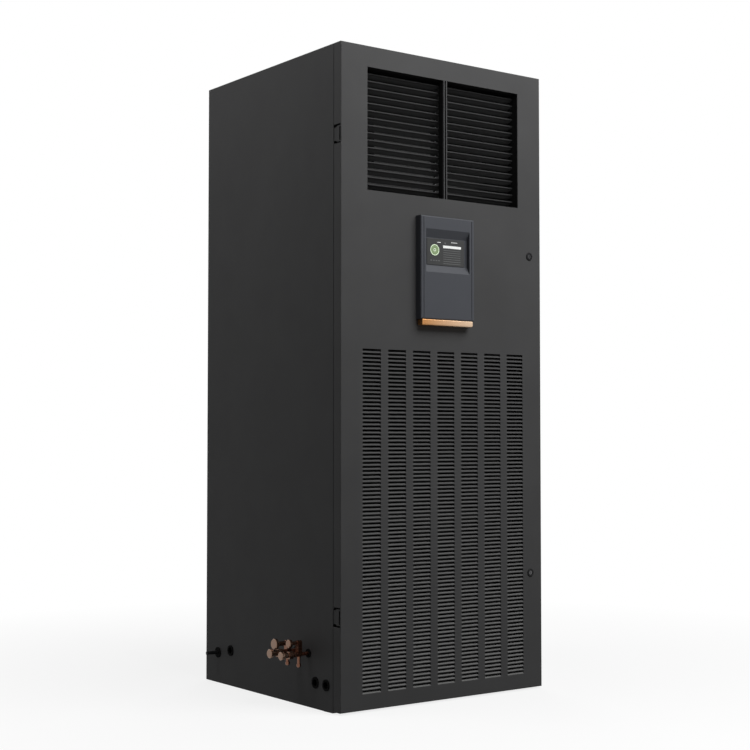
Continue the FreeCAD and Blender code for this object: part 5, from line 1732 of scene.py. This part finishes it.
@dataclass
class Studio:
    """Camera, floor, surroundings and lamps."""

    camera_place: Vector = field(default_factory=lambda: Vector((-2.511, -3.434, 0.7254)))
    camera_turn: Size = (math.radians(92.276), 0.0, math.radians(-36.32))
    lens: float = 69.94
    sensor: float = 36.0
    floor_size: float = 30.0
    ambient: float = 0.08
    floor_colour: Colour = (0.14, 0.14, 0.14)
    floor_seen: Colour = (0.8, 0.8, 0.8)
    floor_glow: Span = (0.8, 1.0)
    floor_reach: Span = (0.7, 2.2)
    floor_roughness: float = 0.9
    lamps: tuple[Lamp, ...] = (
        Lamp("front_box", (0.5, -2.1, 3.0), (0.0, -0.3, 0.9), (2.4, 1.6), 104.0),
        Lamp("low_fill", (0.4, -3.3, 0.6), (0.0, -0.3, 1.2), (2.0, 1.0), 5.0),
        Lamp("left_box", (-1.45, 0.35, 3.1), (-0.35, 0.1, 0.9), (1.2, 1.2), 27.0),
        Lamp("rear_box", (1.6, 2.4, 2.6), (0.0, 0.3, 0.9), (1.6, 1.2), 34.0),
    )

    def camera(self) -> None:
        """Set the camera where the photograph was taken from."""
        lens = bpy.data.cameras.new("camera")
        lens.lens = self.lens
        lens.sensor_width = self.sensor
        camera = bpy.data.objects.new("camera", lens)
        camera.location = self.camera_place
        camera.rotation_euler = self.camera_turn
        bpy.context.collection.objects.link(camera)
        bpy.context.scene.camera = camera

    @staticmethod
    def _seen(tree: Tree) -> Socket:
        """Add a mask of the rays that should meet a white background.

        Args:
            tree: the tree that it goes into.

        Returns:
            The mask.
        """
        path = tree.add("ShaderNodeLightPath")
        both = tree.add("ShaderNodeMath", operation="MAXIMUM")
        every = tree.add("ShaderNodeMath", operation="MAXIMUM")
        tree.join(path.outputs["Is Camera Ray"], both.inputs[0])
        tree.join(path.outputs["Is Glossy Ray"], both.inputs[1])
        tree.join(both.outputs[0], every.inputs[0])
        tree.join(path.outputs["Is Transmission Ray"], every.inputs[1])
        return every.outputs[0]

    def surroundings(self) -> None:
        """Make the surroundings white to look at and dim as a light."""
        world = bpy.data.worlds.new("studio")
        bpy.context.scene.world = world
        world.use_nodes = True
        tree = Tree(world.node_tree.nodes, world.node_tree.links)
        background = world.node_tree.nodes["Background"]
        background.inputs["Color"].default_value = (1.0, 1.0, 1.0, 1.0)
        strength = tree.spread(self._seen(tree), (self.ambient, 1.0), (0.0, 1.0))
        tree.join(strength, background.inputs["Strength"])

    def floor(self) -> None:
        """Lay a pale floor that keeps the shadow near the object and goes white further out."""
        bpy.ops.object.select_all(action="DESELECT")
        bpy.ops.mesh.primitive_plane_add(size=self.floor_size)
        floor = settle(bpy.context.object, "floor")
        material = bpy.data.materials.new("pale_floor")
        material.use_nodes = True
        tree = Tree(material.node_tree.nodes, material.node_tree.links)
        shader = material.node_tree.nodes["Principled BSDF"]
        seen = self._seen(tree)
        tree.join(tree.blend(seen, self.floor_colour, self.floor_seen), shader.inputs["Base Color"])
        shader.inputs["Roughness"].default_value = self.floor_roughness
        shader.inputs["Specular IOR Level"].default_value = 0.0
        white = tree.add("ShaderNodeEmission")
        place = tree.add("ShaderNodeTexCoord").outputs["Object"]
        distance = tree.add("ShaderNodeVectorMath", operation="LENGTH")
        tree.join(place, distance.inputs[0])
        far = tree.spread(distance.outputs["Value"], self.floor_glow, self.floor_reach)
        share = tree.add("ShaderNodeMath", operation="MULTIPLY")
        tree.join(far, share.inputs[0])
        tree.join(seen, share.inputs[1])
        mix = tree.add("ShaderNodeMixShader")
        tree.join(share.outputs[0], mix.inputs[0])
        tree.join(shader.outputs[0], mix.inputs[1])
        tree.join(white.outputs[0], mix.inputs[2])
        tree.join(mix.outputs[0], material.node_tree.nodes["Material Output"].inputs["Surface"])
        floor.data.materials.append(material)

    def build(self) -> None:
        """Set up the whole studio."""
        bpy.context.scene.view_settings.view_transform = "Standard"
        self.camera()
        self.surroundings()
        self.floor()
        for lamp in self.lamps:
            lamp.hang()


@dataclass(frozen=True)
class Softened:
    """How the edges of a solid are rounded, and the finish where it isn't the one of its slot."""

    width: float = 0.0
    segments: int = 2
    finish: str = ""


SOFTENED: dict[str, Softened] = {
    "left_panel": Softened(0.3 * MM),
    "right_panel": Softened(0.3 * MM),
    "top_panel": Softened(0.6 * MM),
    "base_frame": Softened(1.0 * MM),
    "front_frame": Softened(0.6 * MM),
    # Its finish paints shade on the faces behind the door
    "outlet_frame": Softened(0.4 * MM, finish="outlet_inside_painted_shade"),
    "hinge_blocks": Softened(0.8 * MM),
    "hinge_brackets": Softened(0.5 * MM),
    "lock_housings": Softened(0.5 * MM),
    "upper_lock_cam": Softened(0.4 * MM),
    "lower_lock_cam": Softened(0.4 * MM),
    "gas_valve": Softened(0.6 * MM, 3),
    "liquid_valve": Softened(0.6 * MM, 3),
    "display_trim": Softened(3.0 * MM, 4),
    "electrical_box": Softened(0.4 * MM),
    "switch_handle": Softened(1.2 * MM, 3),
    "filter_frames": Softened(0.6 * MM),
    "compressor": Softened(1.5 * MM, 3),
    "door_gasket": Softened(1.2 * MM),
}
# The blades' finish paints shade on their noses and light on their bodies
OUTLET_BLADE = Softened(finish="outlet_blade")
MODELLED = frozenset((
    "door_panel", "return_grille", "grille_louvres",
    "display_housing", "display_screen", "switchgear", "rear_panel",
))


def bodies_of(record: dict) -> dict[str, str]:
    """Find the body that carries each solid.

    Args:
        record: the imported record.

    Returns:
        Body names by node name.
    """
    return {node: body for body, nodes in record["behaviour"]["bodies"].items() for node in nodes}


def slots_of(record: dict) -> dict[str, str]:
    """Find each solid's finish slot.

    Args:
        record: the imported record.

    Returns:
        Slot names by node name.
    """
    return {part["node"]: part["material_slot"] for part in record["subparts"]}


def plan_of(node: str) -> Softened:
    """Choose how a solid's edges are rounded, and its finish.

    Args:
        node: the solid's name.

    Returns:
        The plan, which by default keeps the edges and takes the finish of the solid's slot.
    """
    if node.startswith("outlet_blade"):
        return OUTLET_BLADE
    return SOFTENED.get(node, Softened())


def dress_solids(frame: dict, finishes: Finishes) -> None:
    """Smooth the solids whose shape is right and round their edges.

    Args:
        frame: the loaded frame.
        finishes: the materials.
    """
    carriers = bodies_of(frame["record"])
    for node, slot in slots_of(frame["record"]).items():
        if node in MODELLED:
            continue
        plan = plan_of(node)
        piece = softened(frame["nodes"][node], f"{node}_skin", plan.width, plan.segments)
        hand_over(piece, carriers[node], slot, finishes.get(plan.finish or slot), node)


def main() -> None:
    """Build the scene in order."""
    logging.basicConfig(level=logging.INFO, format="%(message)s")
    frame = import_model()
    Studio().build()
    finishes = Finishes()
    DoorSkin(*limits("door_panel")).dress(finishes)
    Display.from_frame().dress(finishes)
    Switchgear().dress(finishes)
    RearSheet().dress(frame["nodes"]["rear_panel"], finishes)
    dress_solids(frame, finishes)


if __name__ == "__main__":
    main()
